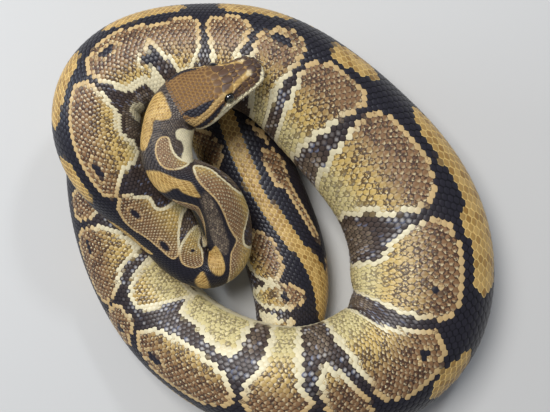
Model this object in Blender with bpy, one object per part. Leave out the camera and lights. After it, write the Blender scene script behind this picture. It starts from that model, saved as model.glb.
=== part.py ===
"""A ball python lying coiled, life size, as closed solids: head, lower jaw, eyes, neck, trunk lengths, tail.

The body is one smooth tube that follows a hand-chosen route from snout to tail tip. It lies in three
layers: the wide ring, the hidden run under it and the tail are on the floor, the fore part of the ring and
the small loop lie on those, and the neck and head lie on top. Where two stretches press on each other,
both give way along the same surface, so they touch without passing through each other.
Units here are millimetres and degrees; the solids are written in metres.
"""

import math

import bmesh
import bpy
import numpy as np
from mathutils import Vector

MM = 0.001

# Driving sizes, snout to tail tip. Each point: x, y, height of the middle, half-width of the body.
ROUTE = [
    # head, then the neck's turn to the left
    (-5, 76.5, 88, 12),
    (-36, 60, 88, 12.5),
    (-46.5, 54, 87, 13),
    (-51, 44, 84, 13),
    (-51.5, 32, 82, 13),
    (-46.5, 22, 80, 12.4),
    # the small loop, down onto the middle of the coil
    (-33, 15, 74, 12.4),
    (-24, 3, 62, 12.6),
    (-22, -10.5, 52, 12.2),
    (-24.5, -20.5, 47, 11.8),
    (-33, -25, 46, 12.4),
    (-43.5, -20.5, 47, 14),
    (-56, -4, 51, 17),
    (-70, 11, 55, 19.2),
    (-83, 27, 60, 21.4),
    # up the left and over the top, lying on the hidden run
    (-89.5, 46, 61, 23.4),
    (-86.5, 64, 61, 24.4),
    (-74, 77.5, 61, 24.8),
    (-55.5, 84, 60, 25.6),
    (-35, 85.5, 58, 26.5),
    (-14, 84, 56, 27.4),
    (7, 76, 50, 29.6),
    (27, 61.5, 42, 32.6),
    # down the right, on the floor, at the widest of the trunk
    (48, 42, 35, 35),
    (68, 18, 31, 37.2),
    (79.5, -7, 29, 39.2),
    (82.5, -31, 29, 39.9),
    (78, -54, 29, 39.2),
    (63.5, -73.5, 32, 36.2),
    # over the tail, then back to the floor at the lower left
    (39, -84.5, 40, 31.8),
    (14, -87, 46, 29.6),
    (-10, -83.5, 43, 28.6),
    (-33, -75, 34, 27.4),
    (-54.5, -60, 24, 26.2),
    (-70.5, -39, 20, 25.6),
    (-81.5, -14, 20, 25.4),
    (-87, 10, 20, 25.6),
    (-88, 35, 20, 26),
    (-83, 58, 19.5, 26),
    # the hidden run under the left and the top
    (-68, 74, 19, 25.6),
    (-50.5, 78, 18.5, 25.2),
    (-34.5, 70, 18.5, 25),
    (-21.5, 49.5, 18.5, 24.8),
    # across the middle and out under the lower stretch
    (-10.5, 25, 18, 24),
    (1, -1, 17.5, 23.4),
    (9, -27, 17, 22.8),
    (11, -52, 15, 20),
    (7, -75, 12.5, 16.4),
    # tail, lying outside the coil
    (0, -98, 10, 13),
    (-12, -115, 8, 10),
    (-29, -125, 6, 7.4),
    (-45, -127, 4, 5),
    (-59, -123, 2.4, 2.7),
    (-66, -119, 1.2, 1.1),
]
CENTRING = (-4.1, 10.4)  # the move that brings the middle of the whole footprint to the origin
SLENDER, STOUT = 12.0, 40.0  # half-widths of the roundest and of the flattest section
ROUND_RATIO, FLAT_RATIO = 0.95, 0.755  # half-height over half-width at those two

# The head, measured back from the snout tip: half-width, height over and depth under its axis.
HEAD_SECTIONS = [
    (0.0, 3.6, 1.6, 1.8),
    (0.6, 5.2, 2.6, 2.8),
    (1.8, 6.8, 3.6, 3.7),
    (4.0, 8.3, 4.7, 4.6),
    (8.0, 9.4, 5.8, 5.5),
    (14.0, 10.4, 7.2, 6.3),
    (21.0, 11.8, 8.5, 7.1),
    (28.0, 13.7, 9.4, 8.2),
    (35.0, 15.4, 10.0, 9.2),
    (41.0, 15.0, 10.4, 10.0),
    (47.0, 13.2, 10.9, 10.9),
    (54.0, 12.6, 11.7, 11.7),
]
HEAD_SQUARE = 2.5  # exponent of the head's boxy sections; 2 is an ellipse
SNOUT_TAPER, TAPER_FROM, TAPER_END = 0.32, 13.0, 27.0  # the snout's crown is narrower than its lips
HEAD_LENGTH = 43.0
HEAD_LEAN = -20.0  # the crown leans to the animal's left, so its right cheek looks up
LEVEL_FROM = 95.0  # distance from the snout where the lean has gone
EYE_BACK, EYE_OUT, EYE_UP, EYE_RADIUS = 21.5, 9.1, 3.4, 2.8
SOCKET_ROOM = 0.35
MOUTH_HEIGHT, MOUTH_LENGTH, MOUTH_ROOM = -2.4, 36.0, 0.3

# How the body is parted and how finely it is faceted.
NECK_END, TAIL_START = 104.0, 1045.0
TRUNK_LENGTHS = 14
SEAM = 0.4  # the thin cut between two lengths
SIDES = 22
RING_STEP = 0.34  # distance between rings, over the half-width of the body there
HEAD_STEP = 3.2
FINE_STEP = 2.0  # of the samples that the contact rule reads
CONTACT_ROOM = 0.55  # what each of two pressed stretches keeps back from their shared surface
OWN_REACH = 2.1  # a stretch closer than this many summed half-widths along the body is the same one
CREASE_LIMIT = 0.93  # how near the inner side of a bend may come to the bend's centre


def spline(knots, values, at):
    """Natural cubic spline through values at knots, read at the places in at."""
    knots = np.asarray(knots, float)
    values = np.asarray(values, float)
    step = np.diff(knots)
    count = len(knots)
    matrix = np.eye(count)
    target = np.zeros_like(values)
    for i in range(1, count - 1):
        matrix[i, i - 1 : i + 2] = (step[i - 1], 2 * (step[i - 1] + step[i]), step[i])
        slope_after = (values[i + 1] - values[i]) / step[i]
        target[i] = 6 * (slope_after - (values[i] - values[i - 1]) / step[i - 1])
    bend = np.linalg.solve(matrix, target)
    at = np.clip(at, knots[0], knots[-1])
    k = np.clip(np.searchsorted(knots, at, side="right") - 1, 0, count - 2)
    shape = (-1,) + (1,) * (values.ndim - 1)
    width = step[k].reshape(shape)
    before = ((knots[k + 1] - at) / step[k]).reshape(shape)
    after = 1 - before
    curved = (before**3 - before) * bend[k] + (after**3 - after) * bend[k + 1]
    return before * values[k] + after * values[k + 1] + curved * width**2 / 6


def smooth_step(low, high, value):
    part = np.clip((value - low) / (high - low), 0, 1)
    return part * part * (3 - 2 * part)


class Body:
    """The route with its arc length, and the frame and the section at any distance from the snout."""

    def __init__(self):
        points = np.array(ROUTE, float)
        points[:, 0] += CENTRING[0]
        points[:, 1] += CENTRING[1]
        chord = np.linalg.norm(np.diff(points[:, :3], axis=0), axis=1)
        knots = np.concatenate([[0], np.cumsum(chord)])
        self.fine = np.linspace(0, knots[-1], int(knots[-1] / 0.25))
        dense = spline(knots, points, self.fine)
        along = np.linalg.norm(np.diff(dense[:, :3], axis=0), axis=1)
        self.along = np.concatenate([[0], np.cumsum(along)])
        self.dense = dense
        self.length = self.along[-1]

    def read(self, s):
        return np.stack([np.interp(s, self.along, self.dense[:, i]) for i in range(4)], axis=-1)

    def frames(self, s):
        """Middle, direction, side, up, half-width, half-height and sideways curvature at each s."""
        s = np.asarray(s, float)
        here = self.read(s)
        reach = 1.5
        ahead, behind = np.clip(s + reach, 0, self.length), np.clip(s - reach, 0, self.length)
        p_ahead, p_behind = self.read(ahead)[:, :3], self.read(behind)[:, :3]
        direction = p_ahead - p_behind
        direction /= np.linalg.norm(direction, axis=1)[:, None]
        side = np.cross((0.0, 0.0, 1.0), direction)
        side /= np.linalg.norm(side, axis=1)[:, None]
        up = np.cross(direction, side)
        span = ((ahead - behind) / 2)[:, None]
        curvature = (p_ahead - 2 * here[:, :3] + p_behind) / span**2
        curvature = np.sum(curvature * side, axis=1)
        half_width = here[:, 3]
        ratio = ROUND_RATIO + (FLAT_RATIO - ROUND_RATIO) * smooth_step(SLENDER, STOUT, half_width)
        return here[:, :3], direction, side, up, half_width, half_width * ratio, curvature


def head_section(s, angle):
    """Sideways and upward reach of the head's section at s, at an angle from its right side."""
    table = np.array(HEAD_SECTIONS)
    width, over, under = (np.interp(s, table[:, 0], table[:, i]) for i in (1, 2, 3))
    cos, sin = np.cos(angle), np.sin(angle)
    power = 2 / HEAD_SQUARE
    across = np.sign(cos) * np.abs(cos) ** power * width
    height = np.sign(sin) * np.abs(sin) ** power * np.where(sin > 0, over, under)
    taper = SNOUT_TAPER * (1 - smooth_step(TAPER_FROM, TAPER_END, s))
    across = across * (1 - taper * np.clip(height / over, 0, 1))
    return across, height


def raw_rings(body, s, sides):
    """Rings of points round the body at each s, before anything presses on them."""
    middle, direction, side, up, half_width, half_height, curvature = body.frames(s)
    angle = np.arange(sides) * 2 * math.pi / sides
    across = half_width[:, None] * np.cos(angle)
    height = half_height[:, None] * np.sin(angle)
    head = HEAD_SECTIONS[-1][0]
    for i, place in enumerate(s):
        if place < head:
            head_across, head_height = head_section(place, angle)
            share = smooth_step(HEAD_LENGTH, head, place)
            across[i] = head_across * (1 - share) + across[i] * share
            height[i] = head_height * (1 - share) + height[i] * share
    lean = np.radians(HEAD_LEAN) * (1 - smooth_step(HEAD_LENGTH, LEVEL_FROM, np.asarray(s)))
    cos, sin = np.cos(lean)[:, None], np.sin(lean)[:, None]
    across, height = across * cos + height * sin, height * cos - across * sin
    inward = np.maximum(across * curvature[:, None], 0)
    inward_limit = (1 + (inward / CREASE_LIMIT) ** 4) ** 0.25
    across = across / inward_limit
    points = middle[:, None] + across[..., None] * side[:, None] + height[..., None] * up[:, None]
    return points, middle, half_width


def pressed(body, s, sides):
    """The rings after the floor and the other stretches have pressed on them."""
    points, middle, half_width = raw_rings(body, s, sides)
    grid = np.arange(0, body.length, FINE_STEP)
    g_middle, g_direction, g_side, g_up, g_width, g_height, _ = body.frames(grid)
    head = grid < HEAD_LENGTH
    g_height = np.where(head, np.minimum(g_height, 9.5), g_height)
    for i, place in enumerate(s):
        other = np.abs(grid - place) > OWN_REACH * (g_width + half_width[i])
        near = np.linalg.norm(g_middle - middle[i], axis=1) < g_width + half_width[i] + 20
        pick = np.nonzero(other & near)[0]
        if len(pick) == 0:
            continue
        spoke = points[i] - middle[i]
        reach = np.linalg.norm(spoke, axis=1)

        def depth(share):
            away = (middle[i] + share[:, None] * spoke)[:, None] - g_middle[pick]
            a = np.sum(away * g_side[pick], axis=2) / g_width[pick]
            b = np.sum(away * g_up[pick], axis=2) / g_height[pick]
            c = np.sum(away * g_direction[pick], axis=2) / g_width[pick]
            return np.sqrt(a * a + b * b + c * c).min(axis=1)

        low, high = np.zeros(len(reach)), np.full(len(reach), 1.3)
        for _ in range(24):
            mid = (low + high) / 2
            inside = mid < depth(mid)
            low, high = np.where(inside, mid, low), np.where(inside, high, mid)
        share = np.minimum(1, low - CONTACT_ROOM / reach)
        points[i] = middle[i] + share[:, None] * spoke
    spoke = points - middle[:, None]
    share = np.where(points[..., 2] < 0, middle[:, None, 2] / np.maximum(-spoke[..., 2], 1e-6), 1)
    return middle[:, None] + share[..., None] * spoke


def material(name, colour, roughness):
    finish = bpy.data.materials.new(name)
    finish.use_nodes = True
    shader = finish.node_tree.nodes["Principled BSDF"]
    shader.inputs["Base Color"].default_value = (*colour, 1)
    shader.inputs["Roughness"].default_value = roughness
    shader.inputs["Metallic"].default_value = 0
    return finish


def add_object(name, bm, finish):
    bmesh.ops.recalc_face_normals(bm, faces=bm.faces)
    mesh = bpy.data.meshes.new(name)
    bm.to_mesh(mesh)
    bm.free()
    mesh.shade_smooth()
    mesh.set_sharp_from_angle(angle=math.radians(50))
    mesh.materials.append(finish)
    thing = bpy.data.objects.new(name, mesh)
    bpy.context.scene.collection.objects.link(thing)
    return thing


def loft(name, rings, finish):
    """A closed solid through the rings, in metres, with a flat cap at both ends."""
    bm = bmesh.new()
    loops = [[bm.verts.new(Vector(point) * MM) for point in ring] for ring in rings]
    sides = len(rings[0])
    for loop, following in zip(loops, loops[1:]):
        for k in range(sides):
            after = (k + 1) % sides
            bm.faces.new((loop[k], loop[after], following[after], following[k]))
    bm.faces.new(loops[0])
    bm.faces.new(loops[-1])
    return add_object(name, bm, finish)


def stretch(body, name, start, end, finish):
    """One length of the body, with its rings closer together where the body is slender."""
    half_width = body.read((start + end) / 2)[3]
    count = max(3, round((end - start) / (RING_STEP * half_width)) + 1)
    return loft(name, pressed(body, np.linspace(start, end, count), SIDES), finish)


def boolean(target, tool, operation):
    """Cuts the target with the tool, or keeps only what they share."""
    modifier = target.modifiers.new(tool.name, "BOOLEAN")
    modifier.operation = operation
    modifier.object = tool
    tool.hide_render = True
    tool.display_type = "WIRE"


def head_place(body, back, out, up):
    """A point of the head: back from the snout tip, out to the animal's right, up from the axis."""
    middle, _, side, rise, *_ = body.frames([back])
    lean = math.radians(HEAD_LEAN)
    right = side[0] * math.cos(lean) - rise[0] * math.sin(lean)
    crown = rise[0] * math.cos(lean) + side[0] * math.sin(lean)
    return Vector(middle[0] + right * out + crown * up) * MM


def ball(name, centre, radius, finish, rings=12):
    bm = bmesh.new()
    bmesh.ops.create_uvsphere(bm, u_segments=rings + 4, v_segments=rings, radius=radius * MM)
    thing = add_object(name, bm, finish)
    thing.location = centre
    return thing


def jaw_block(body, name, grow, finish):
    """The block that holds the lower jaw: under the mouth line, from the chin to the mouth's corner."""
    front, back = -4.0, MOUTH_LENGTH + grow
    top, bottom, half = MOUTH_HEIGHT + grow, -16.0, 22.0
    bm = bmesh.new()
    corners = []
    for along in (front, back):
        for out, up in ((-half, bottom), (half, bottom), (half, top), (-half, top)):
            start = head_place(body, 10.0, out, up)
            heading = head_place(body, 30.0, out, up) - start
            corners.append(bm.verts.new(start + heading * ((along - 10.0) / 20.0)))
    near, far = corners[:4], corners[4:]
    bm.faces.new(near)
    bm.faces.new(far)
    for k in range(4):
        after = (k + 1) % 4
        bm.faces.new((near[k], near[after], far[after], far[k]))
    return add_object(name, bm, finish)


def make_head(body, skin, pale_skin, eye_glass):
    start = HEAD_SECTIONS[1][0]
    places = [HEAD_SECTIONS[0][0] + 0.02, start]
    places += [row[0] for row in HEAD_SECTIONS[2:5]]
    places += list(np.linspace(11, HEAD_LENGTH - SEAM / 2, round(32 / HEAD_STEP)))
    rings = pressed(body, np.array(places), SIDES)
    head = loft("head", rings, skin)
    jaw = loft("lower_jaw", rings, pale_skin)
    boolean(jaw, jaw_block(body, "jaw_keep", -MOUTH_ROOM / 2, skin), "INTERSECT")
    boolean(head, jaw_block(body, "jaw_cut", MOUTH_ROOM / 2, skin), "DIFFERENCE")
    for name, out in (("eye_right", EYE_OUT), ("eye_left", -EYE_OUT)):
        centre = head_place(body, EYE_BACK, out, EYE_UP)
        ball(name, centre, EYE_RADIUS, eye_glass)
        boolean(head, ball(name + "_socket", centre, EYE_RADIUS + SOCKET_ROOM, skin), "DIFFERENCE")


def make_body(body, skin):
    half = SEAM / 2
    stretch(body, "neck", HEAD_LENGTH + half, NECK_END - half, skin)
    cuts = np.linspace(NECK_END, TAIL_START, TRUNK_LENGTHS + 1)
    for number, (start, end) in enumerate(zip(cuts, cuts[1:]), 1):
        stretch(body, f"trunk_{number:02d}", start + half, end - half, skin)
    stretch(body, "tail", TAIL_START + half, body.length, skin)


def main():
    for thing in list(bpy.data.objects):
        bpy.data.objects.remove(thing)
    skin = material("python skin", (0.25, 0.16, 0.08), 0.45)
    pale_skin = material("pale jaw skin", (0.62, 0.55, 0.42), 0.45)
    eye_glass = material("eye", (0.02, 0.025, 0.02), 0.08)
    body = Body()
    make_head(body, skin, pale_skin, eye_glass)
    make_body(body, skin)


main()
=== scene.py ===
# %% [markdown]
# # A coiled ball python
# This file dresses a finished solid of a coiled snake, life size, in its skin: one smooth hide, nearly
# twenty-four thousand scales that lie on it, belly plates, head shields, eyes, markings and materials.
# It is meant to be read from the top, a cell at a time.

# %% Load the fixed frame
import math

import bpy
import numpy as np
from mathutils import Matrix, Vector
from mathutils.bvhtree import BVHTree


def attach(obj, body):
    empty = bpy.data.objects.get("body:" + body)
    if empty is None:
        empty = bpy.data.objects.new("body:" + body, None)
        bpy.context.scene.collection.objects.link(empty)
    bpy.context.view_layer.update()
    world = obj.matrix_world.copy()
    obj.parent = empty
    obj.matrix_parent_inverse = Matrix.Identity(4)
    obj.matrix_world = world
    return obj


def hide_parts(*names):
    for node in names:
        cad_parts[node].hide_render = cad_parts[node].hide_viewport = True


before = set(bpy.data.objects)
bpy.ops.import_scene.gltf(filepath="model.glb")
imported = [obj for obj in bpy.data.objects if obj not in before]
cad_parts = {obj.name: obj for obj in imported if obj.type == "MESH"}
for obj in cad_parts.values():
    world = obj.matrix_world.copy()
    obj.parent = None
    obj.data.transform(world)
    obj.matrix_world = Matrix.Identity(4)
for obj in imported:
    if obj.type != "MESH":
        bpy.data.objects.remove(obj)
bpy.ops.object.select_all(action="DESELECT")
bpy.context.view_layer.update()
MM = 0.001

# %% [markdown]
# ## Camera, floor and light
# A snake on the floor is looked at from straight above. A long lens keeps the near coils from swelling.
# The light is a studio's: one wide soft lamp overhead, a small one behind for the glints that show where
# each scale is, a low cool one from the left that shapes the flanks, and a pale world that fills the
# shadows. Colours are shown as they are, with no film curve over them.

# %% Camera
CAMERA_HEIGHT = 0.60
camera_data = bpy.data.cameras.new("camera")
camera_data.lens = 68
camera_data.sensor_width = 36
camera = bpy.data.objects.new("camera", camera_data)
camera.location = (-0.0019, 0.0170, CAMERA_HEIGHT)
bpy.context.scene.collection.objects.link(camera)
bpy.context.scene.camera = camera
print("camera height in mm:", camera.location.z / MM)


# %% Floor, world and lamps
def plain_material(name, colour, roughness):
    finish = bpy.data.materials.new(name)
    finish.use_nodes = True
    shader = finish.node_tree.nodes["Principled BSDF"]
    shader.inputs["Base Color"].default_value = (*colour, 1)
    shader.inputs["Roughness"].default_value = roughness
    return finish


def area_lamp(name, place, aim, size, watts, colour=(1, 1, 1)):
    data = bpy.data.lights.new(name, "AREA")
    data.shape = "RECTANGLE"
    data.size, data.size_y = size
    data.energy = watts
    data.color = colour
    lamp = bpy.data.objects.new(name, data)
    lamp.location = place
    lamp.rotation_euler = (Vector(aim) - Vector(place)).to_track_quat("-Z", "Y").to_euler()
    bpy.context.scene.collection.objects.link(lamp)


bpy.ops.mesh.primitive_plane_add(size=6)
floor = bpy.context.object
floor.name = "floor"
floor.data.materials.append(plain_material("floor paper", (0.62, 0.61, 0.59), 0.9))
world = bpy.data.worlds.new("world")
bpy.context.scene.world = world
world.use_nodes = True
world.node_tree.nodes["Background"].inputs["Color"].default_value = (0.82, 0.88, 1.0, 1)
world.node_tree.nodes["Background"].inputs["Strength"].default_value = 0.22
area_lamp("soft overhead", (-0.30, 0.35, 1.15), (0, 0, 0), (0.5, 0.5), 12)
area_lamp("glints", (0.35, 0.75, 0.9), (0, 0, 0), (0.12, 0.12), 2.5, (0.85, 0.92, 1.0))
area_lamp("window", (-0.75, 0.20, 0.32), (0.05, 0, 0.03), (0.35, 0.2), 2.0, (0.75, 0.86, 1.0))
bpy.context.scene.view_settings.view_transform = "Standard"

# %% [markdown]
# ## The route of the body
# A snake is one tube from snout to tail tip, so everything here is placed by two numbers: how far along
# the body from the snout, and how far round it from the middle of the back. The route is the one that
# the solid follows, in millimetres.

# %% Route and girth, snout to tail tip: x, y, height of the middle, half-width
ROUTE = [
    (-5, 76.5, 88, 12), (-36, 60, 88, 12.5), (-46.5, 54, 87, 13), (-51, 44, 84, 13),
    (-51.5, 32, 82, 13), (-46.5, 22, 80, 12.4), (-33, 15, 74, 12.4), (-24, 3, 62, 12.6),
    (-22, -10.5, 52, 12.2), (-24.5, -20.5, 47, 11.8), (-33, -25, 46, 12.4), (-43.5, -20.5, 47, 14),
    (-56, -4, 51, 17), (-70, 11, 55, 19.2), (-83, 27, 60, 21.4), (-89.5, 46, 61, 23.4),
    (-86.5, 64, 61, 24.4), (-74, 77.5, 61, 24.8), (-55.5, 84, 60, 25.6), (-35, 85.5, 58, 26.5),
    (-14, 84, 56, 27.4), (7, 76, 50, 29.6), (27, 61.5, 42, 32.6), (48, 42, 35, 35),
    (68, 18, 31, 37.2), (79.5, -7, 29, 39.2), (82.5, -31, 29, 39.9), (78, -54, 29, 39.2),
    (63.5, -73.5, 32, 36.2), (39, -84.5, 40, 31.8), (14, -87, 46, 29.6), (-10, -83.5, 43, 28.6),
    (-33, -75, 34, 27.4), (-54.5, -60, 24, 26.2), (-70.5, -39, 20, 25.6), (-81.5, -14, 20, 25.4),
    (-87, 10, 20, 25.6), (-88, 35, 20, 26), (-83, 58, 19.5, 26), (-68, 74, 19, 25.6),
    (-50.5, 78, 18.5, 25.2), (-34.5, 70, 18.5, 25), (-21.5, 49.5, 18.5, 24.8), (-10.5, 25, 18, 24),
    (1, -1, 17.5, 23.4), (9, -27, 17, 22.8), (11, -52, 15, 20), (7, -75, 12.5, 16.4),
    (0, -98, 10, 13), (-12, -115, 8, 10), (-29, -125, 6, 7.4), (-45, -127, 4, 5),
    (-59, -123, 2.4, 2.7), (-66, -119, 1.2, 1.1),
]  # fmt: skip
CENTRING = (-4.1, 10.4)  # moves the route so that the coil lies round the origin
SLENDER, STOUT = 12.0, 40.0  # half-widths of the neck and of the stoutest stretch
ROUND_RATIO, FLAT_RATIO = 0.95, 0.755  # height against width at those two
COAT = 0.45  # depth of the scales over the skin
# Which way the middle of the back faces: 0 is up, positive leans to the left of the way tailward.
LEAN = [
    (0, -20), (20, -20), (38, -20), (48, -28), (60, -46), (80, -46), (95, -30), (115, -24),
    (132, -34), (145, -20), (156, 20), (170, 55), (190, 66), (230, 62), (270, 62), (320, 68),
    (360, 64), (430, 60), (500, 60), (560, 60), (610, 70), (660, 82), (720, 92), (780, 84),
    (830, 66), (860, 36), (900, 8), (940, 6), (965, 16), (985, 34), (1010, 58), (1040, 66),
    (1150, 30),
]  # fmt: skip


def spline(knots, values, at):
    """Natural cubic spline through values at knots, read at the places in at."""
    knots = np.asarray(knots, float)
    values = np.asarray(values, float)
    step = np.diff(knots)
    count = len(knots)
    matrix = np.eye(count)
    target = np.zeros_like(values)
    for i in range(1, count - 1):
        matrix[i, i - 1 : i + 2] = (step[i - 1], 2 * (step[i - 1] + step[i]), step[i])
        slope_after = (values[i + 1] - values[i]) / step[i]
        target[i] = 6 * (slope_after - (values[i] - values[i - 1]) / step[i - 1])
    bend = np.linalg.solve(matrix, target)
    at = np.clip(at, knots[0], knots[-1])
    k = np.clip(np.searchsorted(knots, at, side="right") - 1, 0, count - 2)
    shape = (-1,) + (1,) * (values.ndim - 1)
    width = step[k].reshape(shape)
    before = ((knots[k + 1] - at) / step[k]).reshape(shape)
    after = 1 - before
    curved = (before**3 - before) * bend[k] + (after**3 - after) * bend[k + 1]
    return before * values[k] + after * values[k + 1] + curved * width**2 / 6


def smooth_step(low, high, value):
    part = np.clip((value - low) / (high - low), 0, 1)
    return part * part * (3 - 2 * part)


def unit(vectors):
    return vectors / np.maximum(np.linalg.norm(vectors, axis=-1, keepdims=True), 1e-9)


FINE_STEP = 0.25  # the route is worked out at every quarter of a millimetre
SIGHT = 1.5  # how far ahead and behind its direction and bend are read, in mm


class Body:
    """The route with its arc length, and the frame and size of the section at any distance along."""

    def __init__(self):
        points = np.array(ROUTE, float)
        points[:, :2] += CENTRING
        knots = np.concatenate([[0], np.cumsum(np.linalg.norm(np.diff(points[:, :3], axis=0), axis=1))])
        fine = np.linspace(0, knots[-1], int(knots[-1] / FINE_STEP))
        self.dense = spline(knots, points, fine)
        steps = np.linalg.norm(np.diff(self.dense[:, :3], axis=0), axis=1)
        self.along = np.concatenate([[0], np.cumsum(steps)])
        self.length = self.along[-1]
        leans = np.array(LEAN, float)
        self.lean_places, self.lean_values = leans[:, 0], leans[:, 1]

    def read(self, s):
        return np.stack([np.interp(s, self.along, self.dense[:, i]) for i in range(4)], axis=-1)

    def lean(self, s):
        return np.radians(spline(self.lean_places, self.lean_values, s))

    def frames(self, s):
        """Middle, direction, side, up, half-width, half-height and sideways curvature at each s."""
        s = np.asarray(s, float)
        here = self.read(s)
        ahead, behind = np.clip(s + SIGHT, 0, self.length), np.clip(s - SIGHT, 0, self.length)
        p_ahead, p_behind = self.read(ahead)[:, :3], self.read(behind)[:, :3]
        direction = unit(p_ahead - p_behind)
        side = unit(np.cross((0.0, 0.0, 1.0), direction))
        up = np.cross(direction, side)
        span = ((ahead - behind) / 2)[:, None]
        curvature = np.sum((p_ahead - 2 * here[:, :3] + p_behind) / span**2 * side, axis=1)
        half_width = here[:, 3]
        ratio = ROUND_RATIO + (FLAT_RATIO - ROUND_RATIO) * smooth_step(SLENDER, STOUT, half_width)
        return here[:, :3], direction, side, up, half_width, half_width * ratio, curvature


body = Body()
print("length of the body in mm:", round(body.length))


# %% [markdown]
# ## The skin as a surface
# The hide is one closed sheet. Its section is worked out the same way as the solid's: an ellipse, or a
# boxier shape for the head, that gives way where the body lies on itself or on the floor. It is then
# measured out from the middle of the back, so that a scale, a blotch or a belly plate can be laid
# anywhere by its two numbers and will follow every bend.

# %% Sections of the head and body
# Each row: distance back from the snout, half-width, height over the middle and depth under it.
HEAD_SECTIONS = np.array([
    (0.0, 3.6, 1.6, 1.8), (0.6, 5.2, 2.6, 2.8), (1.8, 6.8, 3.6, 3.7), (4.0, 8.3, 4.7, 4.6),
    (8.0, 9.4, 5.8, 5.5), (14.0, 10.4, 7.2, 6.3), (21.0, 11.8, 8.5, 7.1), (28.0, 13.7, 9.4, 8.2),
    (35.0, 15.4, 10.0, 9.2), (41.0, 15.0, 10.4, 10.0), (47.0, 13.2, 10.9, 10.9), (54.0, 12.6, 11.7, 11.7),
])  # fmt: skip
HEAD_SQUARE = 2.5  # exponent of the head's boxy sections; 2 is an ellipse
HEAD_LENGTH = 43.0  # from the snout to where the head's shape starts to give way to the neck's
HEAD_LEAN, LEVEL_FROM = -20.0, 95.0  # the crown's lean in degrees, and where it is gone
SNOUT_TAPER, TAPER_FROM, TAPER_END = 0.32, 13.0, 27.0  # the snout's crown is narrower than its lips
CONTACT_ROOM = 0.15  # mm left free between stretches that lie on one another
OWN_REACH = 2.1  # how far apart along the body, in their half-widths, two stretches start to press
CREASE_LIMIT = 0.93  # share of the way to a bend's centre that its inner side may fill
HEAD_PRESS = 9.5  # half-height that the head is given when it presses on other stretches
HALVINGS = 14  # of the interval in which the pressed surface is looked for
THIN = 6.0  # the coat thins out in step with the body where its half-width is less than this


def coat_depth(s):
    return COAT * np.minimum(1, body.read(s)[..., 3] / THIN)


def shape_lean(s):
    """How far the section itself is turned: the head's lean, gone by the middle of the neck."""
    return math.radians(HEAD_LEAN) * (1 - smooth_step(HEAD_LENGTH, LEVEL_FROM, s))


def head_section(s, angle):
    """Sideways and upward reach of the head's section at s, at an angle from its right side."""
    reach = spline(np.sqrt(HEAD_SECTIONS[:, 0]), HEAD_SECTIONS[:, 1:], np.sqrt(s))
    width, over, under = (reach[:, i : i + 1] for i in range(3))
    cos, sin = np.cos(angle), np.sin(angle)
    power = 2 / HEAD_SQUARE
    across = np.sign(cos) * np.abs(cos) ** power * width
    height = np.sign(sin) * np.abs(sin) ** power * np.where(sin > 0, over, under)
    taper = SNOUT_TAPER * (1 - smooth_step(TAPER_FROM, TAPER_END, s))
    across = across * (1 - taper[:, None] * np.clip(height / over, 0, 1))
    return across, height


def raw_rings(s, sides):
    """Rings of points round the body at each s, before anything presses on them."""
    middle, _, side, up, half_width, half_height, curvature = body.frames(s)
    angle = np.arange(sides) * 2 * math.pi / sides
    across = half_width[:, None] * np.cos(angle)
    height = half_height[:, None] * np.sin(angle)
    end = HEAD_SECTIONS[-1][0]
    head_across, head_height = head_section(np.clip(s, 0, end), angle)
    share = smooth_step(HEAD_LENGTH, end, s)[:, None]
    across = head_across * (1 - share) + across * share
    height = head_height * (1 - share) + height * share
    lean = shape_lean(s)[:, None]
    cos, sin = np.cos(lean), np.sin(lean)
    across, height = across * cos + height * sin, height * cos - across * sin
    inward = np.maximum(across * curvature[:, None], 0)
    across = across / (1 + (inward / CREASE_LIMIT) ** 4) ** 0.25
    points = middle[:, None] + across[..., None] * side[:, None] + height[..., None] * up[:, None]
    return points, middle, half_width


def skin_rings(s, sides):
    """The rings under the coat, after the floor and the other stretches have pressed on them."""
    points, middle, half_width = raw_rings(s, sides)
    grid = np.arange(0, body.length, 2.0)
    g_middle, g_direction, g_side, g_up, g_width, g_height, _ = body.frames(grid)
    g_height = np.where(grid < HEAD_LENGTH, np.minimum(g_height, HEAD_PRESS), g_height)
    depth_of_coat = coat_depth(s)
    for i, place in enumerate(s):
        spoke = points[i] - middle[i]
        reach = np.linalg.norm(spoke, axis=1)
        other = np.abs(grid - place) > OWN_REACH * (g_width + half_width[i])
        near = np.linalg.norm(g_middle - middle[i], axis=1) < g_width + half_width[i] + 10
        pick = np.nonzero(other & near)[0]
        share = np.ones(sides)
        if len(pick):
            axes = np.stack([
                g_side[pick] / g_width[pick, None],
                g_up[pick] / g_height[pick, None],
                g_direction[pick] / g_width[pick, None],
            ])
            start = np.einsum("apx,px->ap", axes, middle[i] - g_middle[pick])[..., None]
            step = np.einsum("apx,kx->apk", axes, spoke)
            low, high = np.zeros(sides), np.full(sides, 1.3)
            for _ in range(HALVINGS):
                mid = (low + high) / 2
                depth = np.sqrt(((start + step * mid) ** 2).sum(axis=0).min(axis=0))
                inside = mid < depth
                low, high = np.where(inside, mid, low), np.where(inside, high, mid)
            share = np.minimum(1, low - CONTACT_ROOM / reach)
        points[i] = middle[i] + (share - depth_of_coat[i] / reach)[:, None] * spoke
    spoke = points - middle[:, None]
    floor_share = (middle[:, 2] - depth_of_coat)[:, None] / np.maximum(-spoke[..., 2], 1e-6)
    low_point = points[..., 2] < depth_of_coat[:, None]
    share = np.where(low_point, np.clip(floor_share, 0.05, 1), 1)
    return middle[:, None] + share[..., None] * spoke


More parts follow.
